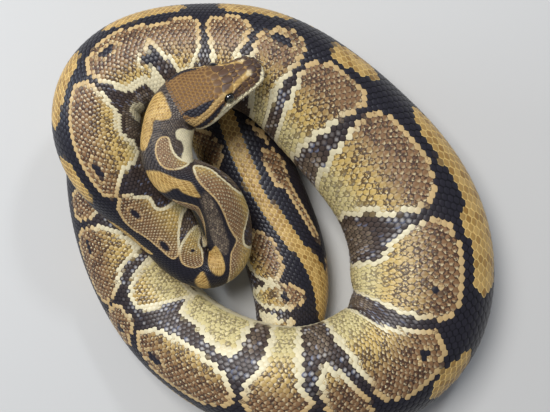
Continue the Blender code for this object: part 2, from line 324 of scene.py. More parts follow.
class Hide:
    """The skin: a point and its outward normal at s along the body and g round it.
    g is 0 in the middle of the back, +1 and -1 in the middle of the belly, and + on the right side."""

    def __init__(self, s, columns):
        self.s = s
        rings = skin_rings(s, columns * 2)
        closed = np.concatenate([rings, rings[:, :1]], axis=1)
        chord = np.linalg.norm(np.diff(closed, axis=1), axis=2)
        around = np.concatenate([np.zeros((len(s), 1)), np.cumsum(chord, axis=1)], axis=1)
        self.girth = around[:, -1]
        self.g = np.linspace(-1, 1, columns + 1)
        self.points = np.empty((len(s), columns + 1, 3))
        back = (math.pi / 2 - body.lean(s) + shape_lean(s)) / (2 * math.pi) * columns * 2
        for i, girth in enumerate(self.girth):
            zero = np.interp(back[i] % (columns * 2), np.arange(columns * 2 + 1), around[i])
            wanted = (zero - self.g * girth / 2) % girth
            for axis in range(3):
                self.points[i, :, axis] = np.interp(wanted, around[i], closed[i, :, axis])
        self.find_normals()

    def find_normals(self):
        along = np.gradient(self.points, axis=0)
        ring = self.points[:, :-1]
        across = np.roll(ring, -1, axis=1) - np.roll(ring, 1, axis=1)
        across = np.concatenate([across, across[:, :1]], axis=1)
        self.normals = unit(np.cross(along, across))

    def at(self, s, g):
        """Points and normals at s and g, both arrays of one shape."""
        i = np.interp(s, self.s, np.arange(len(self.s)))
        j = (np.clip(g, -1, 1) + 1) / 2 * (len(self.g) - 1)
        i0 = np.minimum(i.astype(int), len(self.s) - 2)
        j0 = np.minimum(j.astype(int), len(self.g) - 2)
        a, b = (i - i0)[..., None], (j - j0)[..., None]
        found = []
        for grid in (self.points, self.normals):
            near = grid[i0, j0] * (1 - b) + grid[i0, j0 + 1] * b
            far = grid[i0 + 1, j0] * (1 - b) + grid[i0 + 1, j0 + 1] * b
            found.append(near * (1 - a) + far * a)
        return found[0], unit(found[1])


# %% Head relief
EYE_BACK, EYE_OUT, EYE_UP, EYE_RADIUS = 21.5, 9.1, 3.4, 2.8
MOUTH_HEIGHT, MOUTH_LENGTH = -2.4, 36.0
SOCKET_REACH = 6.0  # skin farther than this from the eye's middle isn't moved by its socket


def head_axes(back):
    """Middle of the head at a distance back from the snout tip, with its right and crown directions."""
    middle, _, side, rise, *_ = body.frames(back)
    lean = math.radians(HEAD_LEAN)
    right = side * math.cos(lean) - rise * math.sin(lean)
    crown = rise * math.cos(lean) + side * math.sin(lean)
    return middle, right, crown


def head_place(back, out, up):
    middle, right, crown = head_axes(np.array([float(back)]))
    return middle[0] + right[0] * out + crown[0] * up


def bump(distance_squared):
    return np.exp(-distance_squared)


def head_relief(back, out, up):
    """How far the head's skin stands out from its plain section, in millimetres."""
    out = np.abs(out)
    # the brow over the eye, and the ridge from it to the nostril
    relief = 0.55 * bump(((back - 20.5) / 5) ** 2 + ((out - 8.6) / 1.7) ** 2 + ((up - 7.2) / 1.6) ** 2)
    ridge = 6.2 + 0.12 * (back - 12)
    relief += 0.35 * bump(((back - 11) / 6) ** 2 + ((out - 7.6) / 1.5) ** 2 + ((up - ridge) / 1.4) ** 2)
    # the hollow in front of the eye, the groove down the crown, and the muscle of the jaw
    relief -= 0.55 * bump(((back - 12.5) / 4) ** 2 + ((up - 2.6) / 1.6) ** 2) * (out > 5)
    relief -= 0.35 * bump(((back - 34) / 8) ** 2 + (out / 2.2) ** 2) * (up > 0)
    relief += 0.5 * bump(((back - 35) / 6) ** 2 + ((up + 0.5) / 3) ** 2) * (out > 6)
    # the closed mouth, the lip over it, and the nostril
    mouth = np.clip((MOUTH_LENGTH + 1 - back) / 3, 0, 1)
    relief -= 0.6 * mouth * bump(((up - MOUTH_HEIGHT) / 0.42) ** 2)
    relief += 0.22 * mouth * bump(((up - MOUTH_HEIGHT - 1.1) / 0.7) ** 2)
    relief -= 0.9 * bump(((back - 2.6) / 0.75) ** 2 + ((out - 5.6) / 1.6) ** 2 + ((up - 2.1) / 0.75) ** 2)
    return relief


def eye_socket(hide, out):
    """Sinks the skin round each eye so that the ball sits in a cup under its brow, with a raised rim."""
    middle, right, _ = (axis[0] for axis in head_axes(np.array([EYE_BACK])))
    for side in (1, -1):
        centre = head_place(EYE_BACK, side * EYE_OUT, EYE_UP)
        away = hide.points - centre
        distance = np.linalg.norm(away, axis=-1)
        axis = unit(centre - middle + 0.25 * side * right)
        radial = away - np.sum(away * axis, axis=-1, keepdims=True) * axis
        across = np.linalg.norm(radial, axis=-1)
        near = (distance < SOCKET_REACH) & (np.sign(out) == side)
        sink = np.where(near, 2.3 * (1 - smooth_step(2.0, 2.9, across)), 0)
        rim = np.where(near, 0.3 * bump(((across - 3.3) / 0.5) ** 2), 0)
        hide.points += (rim - sink)[..., None] * axis


def shape_head(hide):
    middle, right, crown = head_axes(np.clip(hide.s, 0, HEAD_LENGTH))
    away = hide.points - middle[:, None]
    out = np.sum(away * right[:, None], axis=-1)
    up = np.sum(away * crown[:, None], axis=-1)
    back = np.broadcast_to(hide.s[:, None], out.shape)
    fade = 1 - smooth_step(HEAD_LENGTH - 3, HEAD_LENGTH, back)
    hide.points += (head_relief(back, out, up) * fade)[..., None] * hide.normals
    eye_socket(hide, out)
    hide.find_normals()


# %% Build the skin's surface
HEAD_COLUMNS, BODY_COLUMNS = 192, 96
SNOUT = COAT + 0.05  # where the skin's first ring is; the nose closes in front of it
snout_rows = SNOUT + np.array([0.0, 0.02, 0.06, 0.12, 0.2, 0.3])
head_rows = np.concatenate([snout_rows, np.arange(SNOUT + 0.6, HEAD_LENGTH + 0.2, 0.4)])
head_hide = Hide(head_rows, HEAD_COLUMNS)
shape_head(head_hide)
body_rows = np.arange(head_rows[-1], body.length - 0.5, 1.6)
body_hide = Hide(body_rows, HEAD_COLUMNS)
print("rows of the skin:", len(head_rows), "on the head,", len(body_rows), "on the body")

# %% [markdown]
# ## Markings
# A ball python wears pale-rimmed tan blotches low on each flank, gold patches along the middle of the
# back, and near-black between them. Each marking is drawn once as an outline on the unrolled hide, and
# the skin and the scales both ask how deep inside an outline they are. Every scale takes one answer, at
# its own middle, so that the borders step from scale to scale as they do on the animal. Only on the
# neck and the small loop, where the scales are smallest, may a border cross one.

# %% Outlines on the unrolled hide: distance from the snout in mm, share of the half girth (- is left)
FLANK = [
    [(221, -0.27), (226, -0.18), (248, -0.17), (267, -0.17), (273, -0.27), (271, -0.43), (262, -0.56),
     (248, -0.58), (237, -0.68), (229, -0.62), (227, -0.43)],
    [(275.5, -0.26), (280, -0.15), (292, -0.12), (308, -0.17), (322, -0.15), (328, -0.22), (327, -0.45),
     (318, -0.58), (311, -0.46), (307, -0.40), (304.5, -0.31), (303.5, -0.40), (304, -0.50), (308, -0.60),
     (302, -0.68), (297, -0.62), (294, -0.555), (285, -0.56), (280, -0.52), (277, -0.40)],
    [(331, -0.19), (340, -0.13), (349, -0.15), (350, -0.26), (347.5, -0.38), (348, -0.66), (348, -0.92),
     (334, -0.92), (333.5, -0.45), (332, -0.30)],
    [(352, -0.30), (355, -0.20), (364, -0.10), (373, -0.15), (372, -0.33), (370, -0.50), (374, -0.64),
     (380, -0.78), (386, -0.92), (372, -0.92), (362, -0.76), (356, -0.64), (352, -0.47)],
    [(375, -0.33), (379, -0.22), (388, -0.15), (405, -0.14), (413, -0.20), (409, -0.34), (406, -0.50),
     (405, -0.64), (409, -0.78), (416, -0.92), (400, -0.92), (390, -0.79), (381, -0.64), (377, -0.48)],
    [(416, -0.30), (421, -0.18), (440, -0.14), (462, -0.17), (472, -0.23), (476, -0.32), (472, -0.47),
     (463, -0.60), (459, -0.74), (462, -0.92), (436, -0.92), (427, -0.76), (420, -0.60), (417, -0.45)],
    [(482, -0.30), (488, -0.22), (502, -0.18), (525, -0.18), (534, -0.28), (538, -0.42), (538, -0.60),
     (532, -0.92), (508, -0.92), (503, -0.76), (500, -0.60), (486, -0.50)],
    [(540, -0.28), (544, -0.18), (556, -0.12), (576, -0.15), (587, -0.32), (592, -0.46), (596, -0.60),
     (598.5, -0.72), (595, -0.92), (574, -0.92), (567, -0.72), (560, -0.56), (547, -0.40)],
    [(586, -0.13), (598, -0.14), (606, -0.24), (609.5, -0.36), (609.5, -0.50), (605, -0.56), (602, -0.50),
     (597, -0.42), (591, -0.31)],
    [(611, -0.30), (620, -0.21), (634, -0.22), (639, -0.36), (634.5, -0.54), (633, -0.72), (635, -0.92),
     (617, -0.92), (616, -0.60), (615, -0.40)],
    [(642, -0.30), (648, -0.19), (662, -0.14), (685, -0.15), (697, -0.22), (702, -0.34), (690, -0.48),
     (667, -0.51), (650, -0.45)],
    [(650, -0.92), (645.5, -0.76), (645, -0.60), (654, -0.55), (674, -0.63), (691, -0.65), (696, -0.92)],
    [(698, -0.86), (702, -0.64), (711, -0.44), (724, -0.44), (735, -0.60), (734, -0.78)],
    [(701, -0.12), (709, -0.06), (718, -0.09), (722, -0.22), (719, -0.32), (708, -0.34), (703, -0.22)],
    [(724, -0.20), (736, -0.11), (755, -0.12), (762, -0.22), (762, -0.36), (757, -0.52), (744, -0.64),
     (737, -0.48), (728, -0.36)],
    [(766, -0.22), (771, -0.14), (780, -0.15), (784, -0.28), (777, -0.40), (767, -0.36)],
]  # fmt: skip
LOOP = [
    # right flank of the neck, with the cream that runs up behind the jaw
    [(60, 0.25), (63, 0.19), (70, 0.17), (76, 0.22), (80, 0.40), (80, 0.55), (72, 0.44), (61, 0.34)],
    # outer flank of the small loop: two blotches joined by a neck, with a dark window under it
    [(85, 0.50), (88, 0.34), (93, 0.20), (99, 0.12), (108, 0.10), (117, 0.14), (124, 0.22), (129, 0.29),
     (134, 0.26), (139, 0.22), (147, 0.25), (152, 0.36), (152, 0.56), (146, 0.84), (139, 0.84), (138, 0.62),
     (135, 0.47), (130, 0.42), (125, 0.43), (121, 0.54), (120, 0.80), (112, 0.80), (111, 0.58), (106, 0.46),
     (100, 0.43), (94, 0.51)],
    # its inner flank, and the tongue-shaped blotch after the tight bend
    [(86, -0.16), (94, -0.11), (104, -0.21), (122, -0.22), (142, -0.24), (155, -0.36), (154, -0.50),
     (134, -0.40), (110, -0.36), (94, -0.30)],
    [(161, -0.26), (164, -0.20), (170, -0.22), (174, -0.28), (178, -0.36), (181, -0.46), (183, -0.60),
     (182, -0.76), (176, -0.72), (172, -0.58), (165, -0.46)],
    # the large blotch on the way up the left
    [(219, -0.22), (220, -0.32), (215, -0.40), (209, -0.48), (202, -0.46), (199, -0.54), (198, -0.72),
     (197, -0.84), (192, -0.84), (190.5, -0.62), (186, -0.50), (181, -0.42), (176, -0.32), (176, -0.22),
     (184, -0.20), (194, -0.16), (203, -0.12), (211, -0.14)],
]  # fmt: skip
CENTRE = [
    [(897, -0.38), (901, -0.24), (912, -0.16), (922, -0.22), (921, -0.42), (907, -0.54)],
    [(964, -0.32), (966, -0.20), (980, -0.20), (992, -0.31), (993, -0.50), (978, -0.56)],
    [(995, -0.44), (998, -0.21), (1004, -0.19), (1010, -0.34), (1010, -0.62), (1001, -0.76)],
    [(1013, -0.70), (1014, -0.48), (1018, -0.52), (1018, -0.68)],
    [(1015, -0.32), (1020, -0.36), (1024, -0.50), (1024, -0.76), (1018, -0.56)],
    [(907, 0.10), (913, 0.12), (920, 0.17), (922, 0.22), (915, 0.19), (909, 0.14)],
    [(924, 0.12), (929, 0.10), (944, 0.09), (950, 0.14), (963, 0.14), (976, 0.15), (980, 0.19), (975, 0.23),
     (961, 0.22), (943, 0.24), (934, 0.27), (926, 0.22)],
]  # fmt: skip
GOLD = [
    [(46, -0.14), (49, -0.28), (54, -0.28), (60, -0.20), (67, -0.15), (67, 0.03), (60, 0.09), (54, 0.04),
     (52, 0.15), (49, 0.21), (47, 0.12)],
    [(75, -0.14), (75.5, 0.08), (78, 0.18), (82, 0.23), (87, 0.24), (91, 0.14), (94, 0.04), (88, 0.05),
     (84, 0.10), (82.5, -0.12), (80, -0.20)],
    [(133.5, 0.0), (138, 0.08), (145, 0.14), (150, 0.18), (153, 0.14), (155.5, -0.02), (156.8, -0.15),
     (156, -0.27), (148, -0.25), (140, -0.10)],
    [(160.5, -0.12), (161.8, 0.0), (160.8, 0.14), (159, 0.32), (157.4, 0.30), (157.6, 0.10),
     (158.8, -0.06)],
    [(183, -0.07), (191, -0.02), (200, -0.02), (210, 0.0), (214, 0.06), (208, 0.12), (194, 0.11),
     (185, 0.04)],
    [(225, 0.0), (228, -0.07), (240, -0.07), (244, 0.0), (241, 0.10), (228, 0.09)],
    [(254, 0.0), (258, -0.08), (268, -0.12), (277, -0.10), (279, 0.0), (274, 0.10), (258, 0.10)],
    [(290, 0.0), (296, -0.09), (308, -0.09), (319, -0.07), (321, 0.01), (312, 0.08), (296, 0.09)],
    [(337, 0.0), (341, -0.08), (352, -0.06), (363, 0.0), (366, 0.07), (356, 0.11), (341, 0.09)],
    [(384, -0.04), (388, -0.12), (398, -0.09), (408, -0.04), (411, 0.04), (404, 0.11), (388, 0.06)],
    [(436, 0.02), (442, -0.06), (461, -0.10), (476, -0.07), (490, -0.14), (505, -0.11), (517, -0.10),
     (520, 0.0), (512, 0.09), (480, 0.13), (446, 0.12)],
    [(541, 0.0), (546, -0.07), (555, -0.10), (562, -0.03), (560, 0.06), (548, 0.10)],
    [(590, 0.05), (600, -0.05), (625, -0.06), (634, 0.03), (620, 0.11), (600, 0.12)],
    [(655, 0.06), (664, -0.05), (684, -0.05), (692, 0.05), (680, 0.13), (662, 0.13)],
    [(726, 0.05), (735, -0.03), (748, -0.03), (757, 0.06), (746, 0.13), (732, 0.12)],
    [(792, 0.0), (800, -0.09), (822, -0.07), (830, 0.02), (820, 0.10), (800, 0.09)],
    [(846, 0.0), (852, -0.09), (870, -0.09), (898, -0.10), (924, -0.11), (938, -0.13), (952, -0.11),
     (972, -0.11), (986, -0.09), (1014, -0.06), (1018, 0.08), (1012, 0.16), (1002, 0.17), (984, 0.07),
     (976, 0.02), (954, 0.0), (943, -0.01), (927, 0.02), (910, 0.02), (890, 0.03), (852, 0.07)],
    [(1030, 0.0), (1036, -0.12), (1060, -0.12), (1070, 0.0), (1060, 0.13), (1036, 0.12)],
    [(1082, 0.0), (1088, -0.14), (1124, -0.14), (1130, 0.0), (1124, 0.14), (1088, 0.14)],
]  # fmt: skip
CREAM = [
    # low on the neck's right flank, and on the outer side of the small loop
    [(55, 0.36), (52, 0.42), (53, 0.56), (56, 0.88), (84, 0.88), (84, 0.66), (79, 0.52), (74, 0.48),
     (68, 0.55), (62, 0.50), (60, 0.42)],
    [(166, -0.54), (171, -0.62), (175, -0.74), (180, -0.78), (188, -0.80), (190, -0.88), (160, -0.88),
     (163, -0.70)],
    # low on the left flank, beside the neck
    [(282, -0.50), (290, -0.51), (298, -0.53), (305, -0.56), (309, -0.62), (304, -0.70), (298, -0.66),
     (295, -0.57), (285, -0.57)],
    [(260, -0.70), (267, -0.65), (274, -0.645), (282, -0.68), (283, -0.77), (270, -0.84), (257, -0.80)],
]  # fmt: skip
BROWNS = [
    # the back and the outer flank of the small loop, and the edge of the next bend
    [(95, 0.14), (95, 0.0), (100, -0.12), (109, -0.16), (119, -0.13), (128, -0.07), (135, 0.02),
     (139, 0.12), (138, 0.17), (132, 0.20), (126, 0.16), (118, 0.09), (108, 0.05), (100, 0.08)],
    [(86, 0.56), (96, 0.54), (101, 0.47), (106, 0.50), (110, 0.62), (110, 0.84), (88, 0.84)],
    [(183, -0.50), (188, -0.53), (190, -0.66), (190, -0.80), (184, -0.78)],
    # the middles of the dark gaps low on the left flank
    [(243, -0.63), (256, -0.60), (268, -0.58), (276, -0.60), (290, -0.61), (300, -0.70), (300, -0.92),
     (243, -0.92)],
    [(222, -0.60), (228, -0.62), (236, -0.72), (236, -0.92), (216, -0.92)],
    [(380, -0.92), (387, -0.92), (384, -0.78), (379, -0.66), (376, -0.74)],
    [(420, -0.92), (413, -0.78), (412, -0.62), (417, -0.60), (424, -0.74), (432, -0.92)],
    [(467, -0.92), (464, -0.74), (470, -0.64), (482, -0.60), (494, -0.66), (500, -0.78), (503, -0.92)],
    [(538, -0.92), (541, -0.66), (546, -0.60), (556, -0.66), (562, -0.78), (570, -0.92)],
    [(601, -0.92), (602, -0.62), (608, -0.59), (613, -0.64), (613, -0.92)],
    [(639, -0.92), (638, -0.62), (641, -0.60), (643, -0.70), (643, -0.92)],
]  # fmt: skip
# Dark spots inside the blotches: place along, share round, half-length and half-width in mm.
SPOTS = [
    (234, -0.28, 4.2, 2.2), (287, -0.23, 4, 2.5), (303, -0.42, 5, 4), (362, -0.21, 5.5, 3),
    (520, -0.31, 3, 2.5), (553, -0.25, 3.5, 2.5), (686, -0.26, 5, 3), (710, -0.18, 2.5, 2),
    (208, -0.27, 4, 1.8), (184, -0.27, 4, 1.8), (1003, -0.36, 3, 2), (753, -0.24, 4, 1.2),
    (172, -0.44, 1.5, 1.2),
]  # fmt: skip

# %% [markdown]
# The other flank, and the stretches that lie hidden, carry the same kind of blotch. They repeat the
# drawn ones, moved along a little and made a little narrower or wider, by a seeded draw.

# %% The unseen flank and the hidden stretches
draw = np.random.default_rng(7)
# Stretches that get repeated blotches: which flank, and from where to where.
HIDDEN = ((-1, 802, 880), (1, 806, 880), (-1, 1040, 1130), (1, 1000, 1130), (1, 176, 218))
MODEL, MODEL_LENGTH = FLANK[5], 52  # the blotch that is repeated there, and its length in mm


def moved(outline, along, side, stretch):
    """A copy of an outline, moved along the body, put on one side and made longer or shorter."""
    middle = np.mean([point[0] for point in outline])
    return [(middle + (s - middle) * stretch + along, side * abs(g)) for s, g in outline]


def far_side():
    """Blotches of the right flank behind the small loop, and of both flanks where the body is hidden."""
    outlines = [moved(outline, draw.uniform(9, 15), 1, draw.uniform(0.86, 1.08)) for outline in FLANK]
    middle = np.mean([point[0] for point in MODEL])
    for side, first, last in HIDDEN:
        at = first
        while at < last:
            size = 0.5 * (1 - 0.45 * smooth_step(1020, 1110, at)) * draw.uniform(0.85, 1.1)
            outlines.append(moved(MODEL, at - middle, side, size))
            at += MODEL_LENGTH * size + draw.uniform(5, 9)
    return outlines


ROUND_OFF = 6  # points that the closed curve through an outline takes from each side of it
FAR = 9.0  # mm: farther than this outside an outline, how far doesn't matter


def rounded(outline):
    """A closed smooth curve through an outline's points, in mm along and share round."""
    points = np.array(outline, float)
    before, after, next_but_one = (np.roll(points, shift, axis=0) for shift in (1, -1, -2))
    curve = []
    for t in np.arange(ROUND_OFF) / ROUND_OFF:
        bend = 2 * before - 5 * points + 4 * after - next_but_one
        twist = -before + 3 * points - 3 * after + next_but_one
        curve.append(points + 0.5 * ((after - before) * t + bend * t**2 + twist * t**3))
    return np.stack(curve, axis=1).reshape(-1, 2)


class Drawing:
    """A set of outlines, and how deep inside them in millimetres any place on the hide is."""

    def __init__(self, outlines):
        self.curves = [rounded(outline) for outline in outlines]

    def depth(self, s, g):
        flat_s, flat_g = np.ravel(s), np.ravel(g)
        depth = np.full(flat_s.shape, -FAR)
        for curve in self.curves:
            half_girth = np.interp(curve[:, 0].mean(), body_hide.s, body_hide.girth) / 2
            low, high = curve.min(axis=0), curve.max(axis=0)
            close = (flat_s > low[0] - FAR) & (flat_s < high[0] + FAR)
            close &= (flat_g > low[1] - FAR / half_girth) & (flat_g < high[1] + FAR / half_girth)
            pick = np.nonzero(close)[0]
            if len(pick) == 0:
                continue
            x, y = flat_s[pick][:, None], (flat_g[pick] * half_girth)[:, None]
            ax, ay = curve[:, 0], curve[:, 1] * half_girth
            bx, by = np.roll(ax, -1), np.roll(ay, -1)
            ex, ey = bx - ax, by - ay
            part = np.clip(((x - ax) * ex + (y - ay) * ey) / (ex**2 + ey**2), 0, 1)
            away = np.hypot(ax + part * ex - x, ay + part * ey - y).min(axis=1)
            crossing = ((ay > y) != (by > y)) & (x < ex * (y - ay) / np.where(ey == 0, 1e-9, ey) + ax)
            inside = crossing.sum(axis=1) % 2 == 1
            depth[pick] = np.maximum(depth[pick], np.where(inside, away, -away))
        return depth.reshape(np.shape(s))


blotches = Drawing(FLANK + LOOP + CENTRE + far_side())
patches, creams, browns = Drawing(GOLD), Drawing(CREAM), Drawing(BROWNS)
print("outlines drawn:", len(blotches.curves), "blotches and", len(patches.curves), "gold patches")

# %% [markdown]
# The head has its own markings, told by the distance back from the snout tip and the angle round the
# head's axis, 0 on the crown. The crown is brown. A gold band runs from the snout over the eye to the
# jaw's corner, with a blue-black crescent over its rear and a dark line under it. The lips are pale.

# %% What every place on the hide is made of
BELLY_EDGE = 0.84  # share of the half girth where the scales end and the belly plates start
MARKS = ("tan", "rim", "gold", "pale", "brown", "spot", "salt", "low", "calm")

# Along the head: distance back, angle of the band's middle from the crown's middle, half-width in mm.
GOLD_BAND = [
    (6, 38, 0.6), (8, 40, 1.6), (12, 46, 1.2), (16, 52, 1.4), (19, 56, 1.4), (23, 57, 1.2),
    (27, 61, 1.4), (30, 65, 1.7), (33, 69, 1.9), (37, 74, 2.0), (40, 77, 2.1), (43, 78, 3.2),
]  # fmt: skip
DARK_BAND = [
    (12, 63, 0.1), (16, 67, 0.25), (19, 70, 0.35), (23, 72, 0.5), (25, 74, 0.8), (27, 76, 1.1),
    (30, 80, 1.4), (33, 84, 1.6), (36, 87, 1.5), (40, 92, 1.3), (43, 96, 0.7),
]  # fmt: skip
CRESCENT = [
    (28, 53, 0.2), (31, 56, 1.2), (34, 58, 1.9), (37, 60, 2.0), (40, 58, 2.0), (43, 54, 1.4),
    (45, 50, 0.3),
]  # fmt: skip
# The upper edge of the pale lips: distance back and angle.
LIP_LINE = [
    (0, 60), (3, 78), (6, 84), (13, 86), (17, 83), (20, 81), (22, 77), (25, 74), (27, 78),
    (30, 84), (33, 88), (36, 89), (40, 93), (46, 100),
]  # fmt: skip
HEAD_MARKS_END = 52  # the head's own marks are worked out up to here, and fade out before it
NECK_BROWN = 0.45  # how brown the dark of the neck is
CROWN_TURN = -5  # the marked middle of the crown, in degrees from the middle of its shape


def along_head(table, back, column=1):
    table = np.array(table, float)
    return np.interp(back, table[:, 0], table[:, column])


def head_marks(back, out, up):
    """Amounts of gold, of pale lip and of brown at a place on the head."""
    turn = np.degrees(np.arctan2(out, up))
    angle = np.abs(turn - CROWN_TURN)
    one_degree = np.radians(np.hypot(out, up))

    def band(table):
        away = np.abs(angle - along_head(table, back)) * one_degree
        half = along_head(table, back, 2)
        ends = smooth_step(table[0][0] - 0.6, table[0][0] + 0.6, back)
        return (1 - smooth_step(half - 0.2, half + 0.2, away)) * ends

    crescent, dark, gold = band(CRESCENT), band(DARK_BAND), band(GOLD_BAND)
    dark *= 1 - smooth_step(42, 44, back)
    gold *= (1 - crescent) * (1 - dark)
    below = (np.abs(turn) - along_head(LIP_LINE, back)) * one_degree
    pale = smooth_step(-0.25, 0.25, below)
    patch = bump(((back - 7.4) / 1.8) ** 2 + ((angle - 42) * one_degree / 1.5) ** 2)
    pale = np.maximum(pale, 0.45 * smooth_step(0.3, 0.7, patch))
    tip_shade = 0.4 * (1 - smooth_step(5.0, 7.5, back))
    before_neck = 1 - (1 - NECK_BROWN) * smooth_step(46, 51, back)
    brown = (1 - np.maximum(dark, crescent) - tip_shade) * before_neck
    return gold, pale, brown


def marks_round_head(back, points):
    """The head's marks at points in mm that lie at these distances back."""
    middle, right, crown = head_axes(np.clip(back, 0, HEAD_MARKS_END))
    away = points - middle
    found = head_marks(back, np.sum(away * right, axis=-1), np.sum(away * crown, axis=-1))
    return dict(zip(("gold", "pale", "brown"), found))


def marks(s, g):
    """All the marks at s and g, each from 0 to 1. Besides the colours there are salt, for the pale middles
    of scales in the dark gaps, low, for how far down the flank, and calm, for where speckle is light."""
    s, g = np.asarray(s, float), np.asarray(g, float)
    tan_depth, gold_depth = blotches.depth(s, g), patches.depth(s, g)
    low = smooth_step(0.15, 0.72, np.abs(g))
    width = body.read(s)[..., 3] / STOUT
    rim_width = (2.3 + 1.9 * smooth_step(0.2, 0.6, np.abs(g))) * np.sqrt(width)
    found = {"tan": smooth_step(-0.4, 0.4, tan_depth)}
    found["calm"] = 1 - smooth_step(195, 225, s)
    rim_width *= 1 - 0.4 * found["calm"]
    found["rim"] = found["tan"] * (1 - smooth_step(rim_width * 0.45, rim_width * 1.5, tan_depth))
    found["gold"] = smooth_step(-0.3, 0.3, gold_depth)
    found["spot"] = np.zeros_like(s)
    half_girth = np.interp(s, body_hide.s, body_hide.girth) / 2
    for at, round_share, half_long, half_wide in SPOTS:
        away = ((s - at) / half_long) ** 2 + ((g - round_share) * half_girth / half_wide) ** 2
        found["spot"] = np.maximum(found["spot"], 1 - smooth_step(0.5, 1.0, away))
        ring = smooth_step(0.9, 1.3, away) * (1 - smooth_step(2.0, 3.0, away))
        found["rim"] = np.maximum(found["rim"], 0.5 * ring * found["tan"])
    found["pale"] = smooth_step(0.88, 0.91, np.abs(g))
    found["pale"] = np.maximum(found["pale"], smooth_step(-0.3, 0.3, creams.depth(s, g)))
    found["brown"] = smooth_step(-1.0, 1.5, browns.depth(s, g))
    found["brown"] = np.maximum(found["brown"], NECK_BROWN * (1 - smooth_step(62, 85, s)))
    gap = smooth_step(-5.5, -3.0, tan_depth) * (1 - found["tan"])
    found["salt"] = gap * smooth_step(0.34, 0.44, np.abs(g)) * smooth_step(290, 320, s)
    found["low"] = low
    return found


# %% [markdown]
# ## The skin
# The hide under the scales is one closed mesh from the snout to the tail tip. It is finer on the head,
# where it carries the eye sockets, the lip line and the nostrils, and two of its columns there run into
# one on the body. Its unwrap for baking cuts the unrolled hide into strips and stacks them.

# %% Build the skin
STRIPS = 10


def set_marks(mesh, values):
    for name, amounts in values.items():
        layer = mesh.attributes.new(name, "FLOAT", "POINT")
        layer.data.foreach_set("value", np.asarray(amounts, np.float32).ravel())


def mesh_from(name, vertices, faces):
    """A mesh from arrays: vertices in mm and faces as rows of indices, all of one length or a list."""
    mesh = bpy.data.meshes.new(name)
    mesh.vertices.add(len(vertices))
    mesh.vertices.foreach_set("co", (np.asarray(vertices) * MM).astype(np.float32).ravel())
    sizes = np.concatenate([np.full(len(block), block.shape[1]) for block in faces])
    corners = np.concatenate([block.ravel() for block in faces])
    mesh.loops.add(len(corners))
    mesh.loops.foreach_set("vertex_index", corners.astype(np.int32))
    mesh.polygons.add(len(sizes))
    starts = np.concatenate([[0], np.cumsum(sizes)[:-1]])
    mesh.polygons.foreach_set("loop_start", starts.astype(np.int32))
    mesh.update(calc_edges=True)
    mesh.validate()
    mesh.shade_smooth()
    return mesh


def link(name, mesh, finish):
    piece = bpy.data.objects.new(name, mesh)
    piece.data.materials.append(finish)
    bpy.context.scene.collection.objects.link(piece)
    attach(piece, "root")
    return piece


def unwrap_skin(row_s, share):
    """The unwrap's place for each face corner: the strip comes from the face's own middle."""
    strip_length = body.length / STRIPS
    strip = np.floor(row_s.mean(axis=1, keepdims=True) / strip_length)
    u = (row_s - strip * strip_length) / strip_length * 0.96 + 0.02
    v = (strip + (share + 1) / 2 * 0.94 + 0.03) / STRIPS
    return np.stack([u, v], axis=-1)


def quads(near, far, columns):
    """Quads between row starts near and far, columns to a row, as vertex indices."""
    j = np.arange(columns)
    after = (j + 1) % columns
    return np.stack([near + j, far + j, far + after, near + after], axis=1)


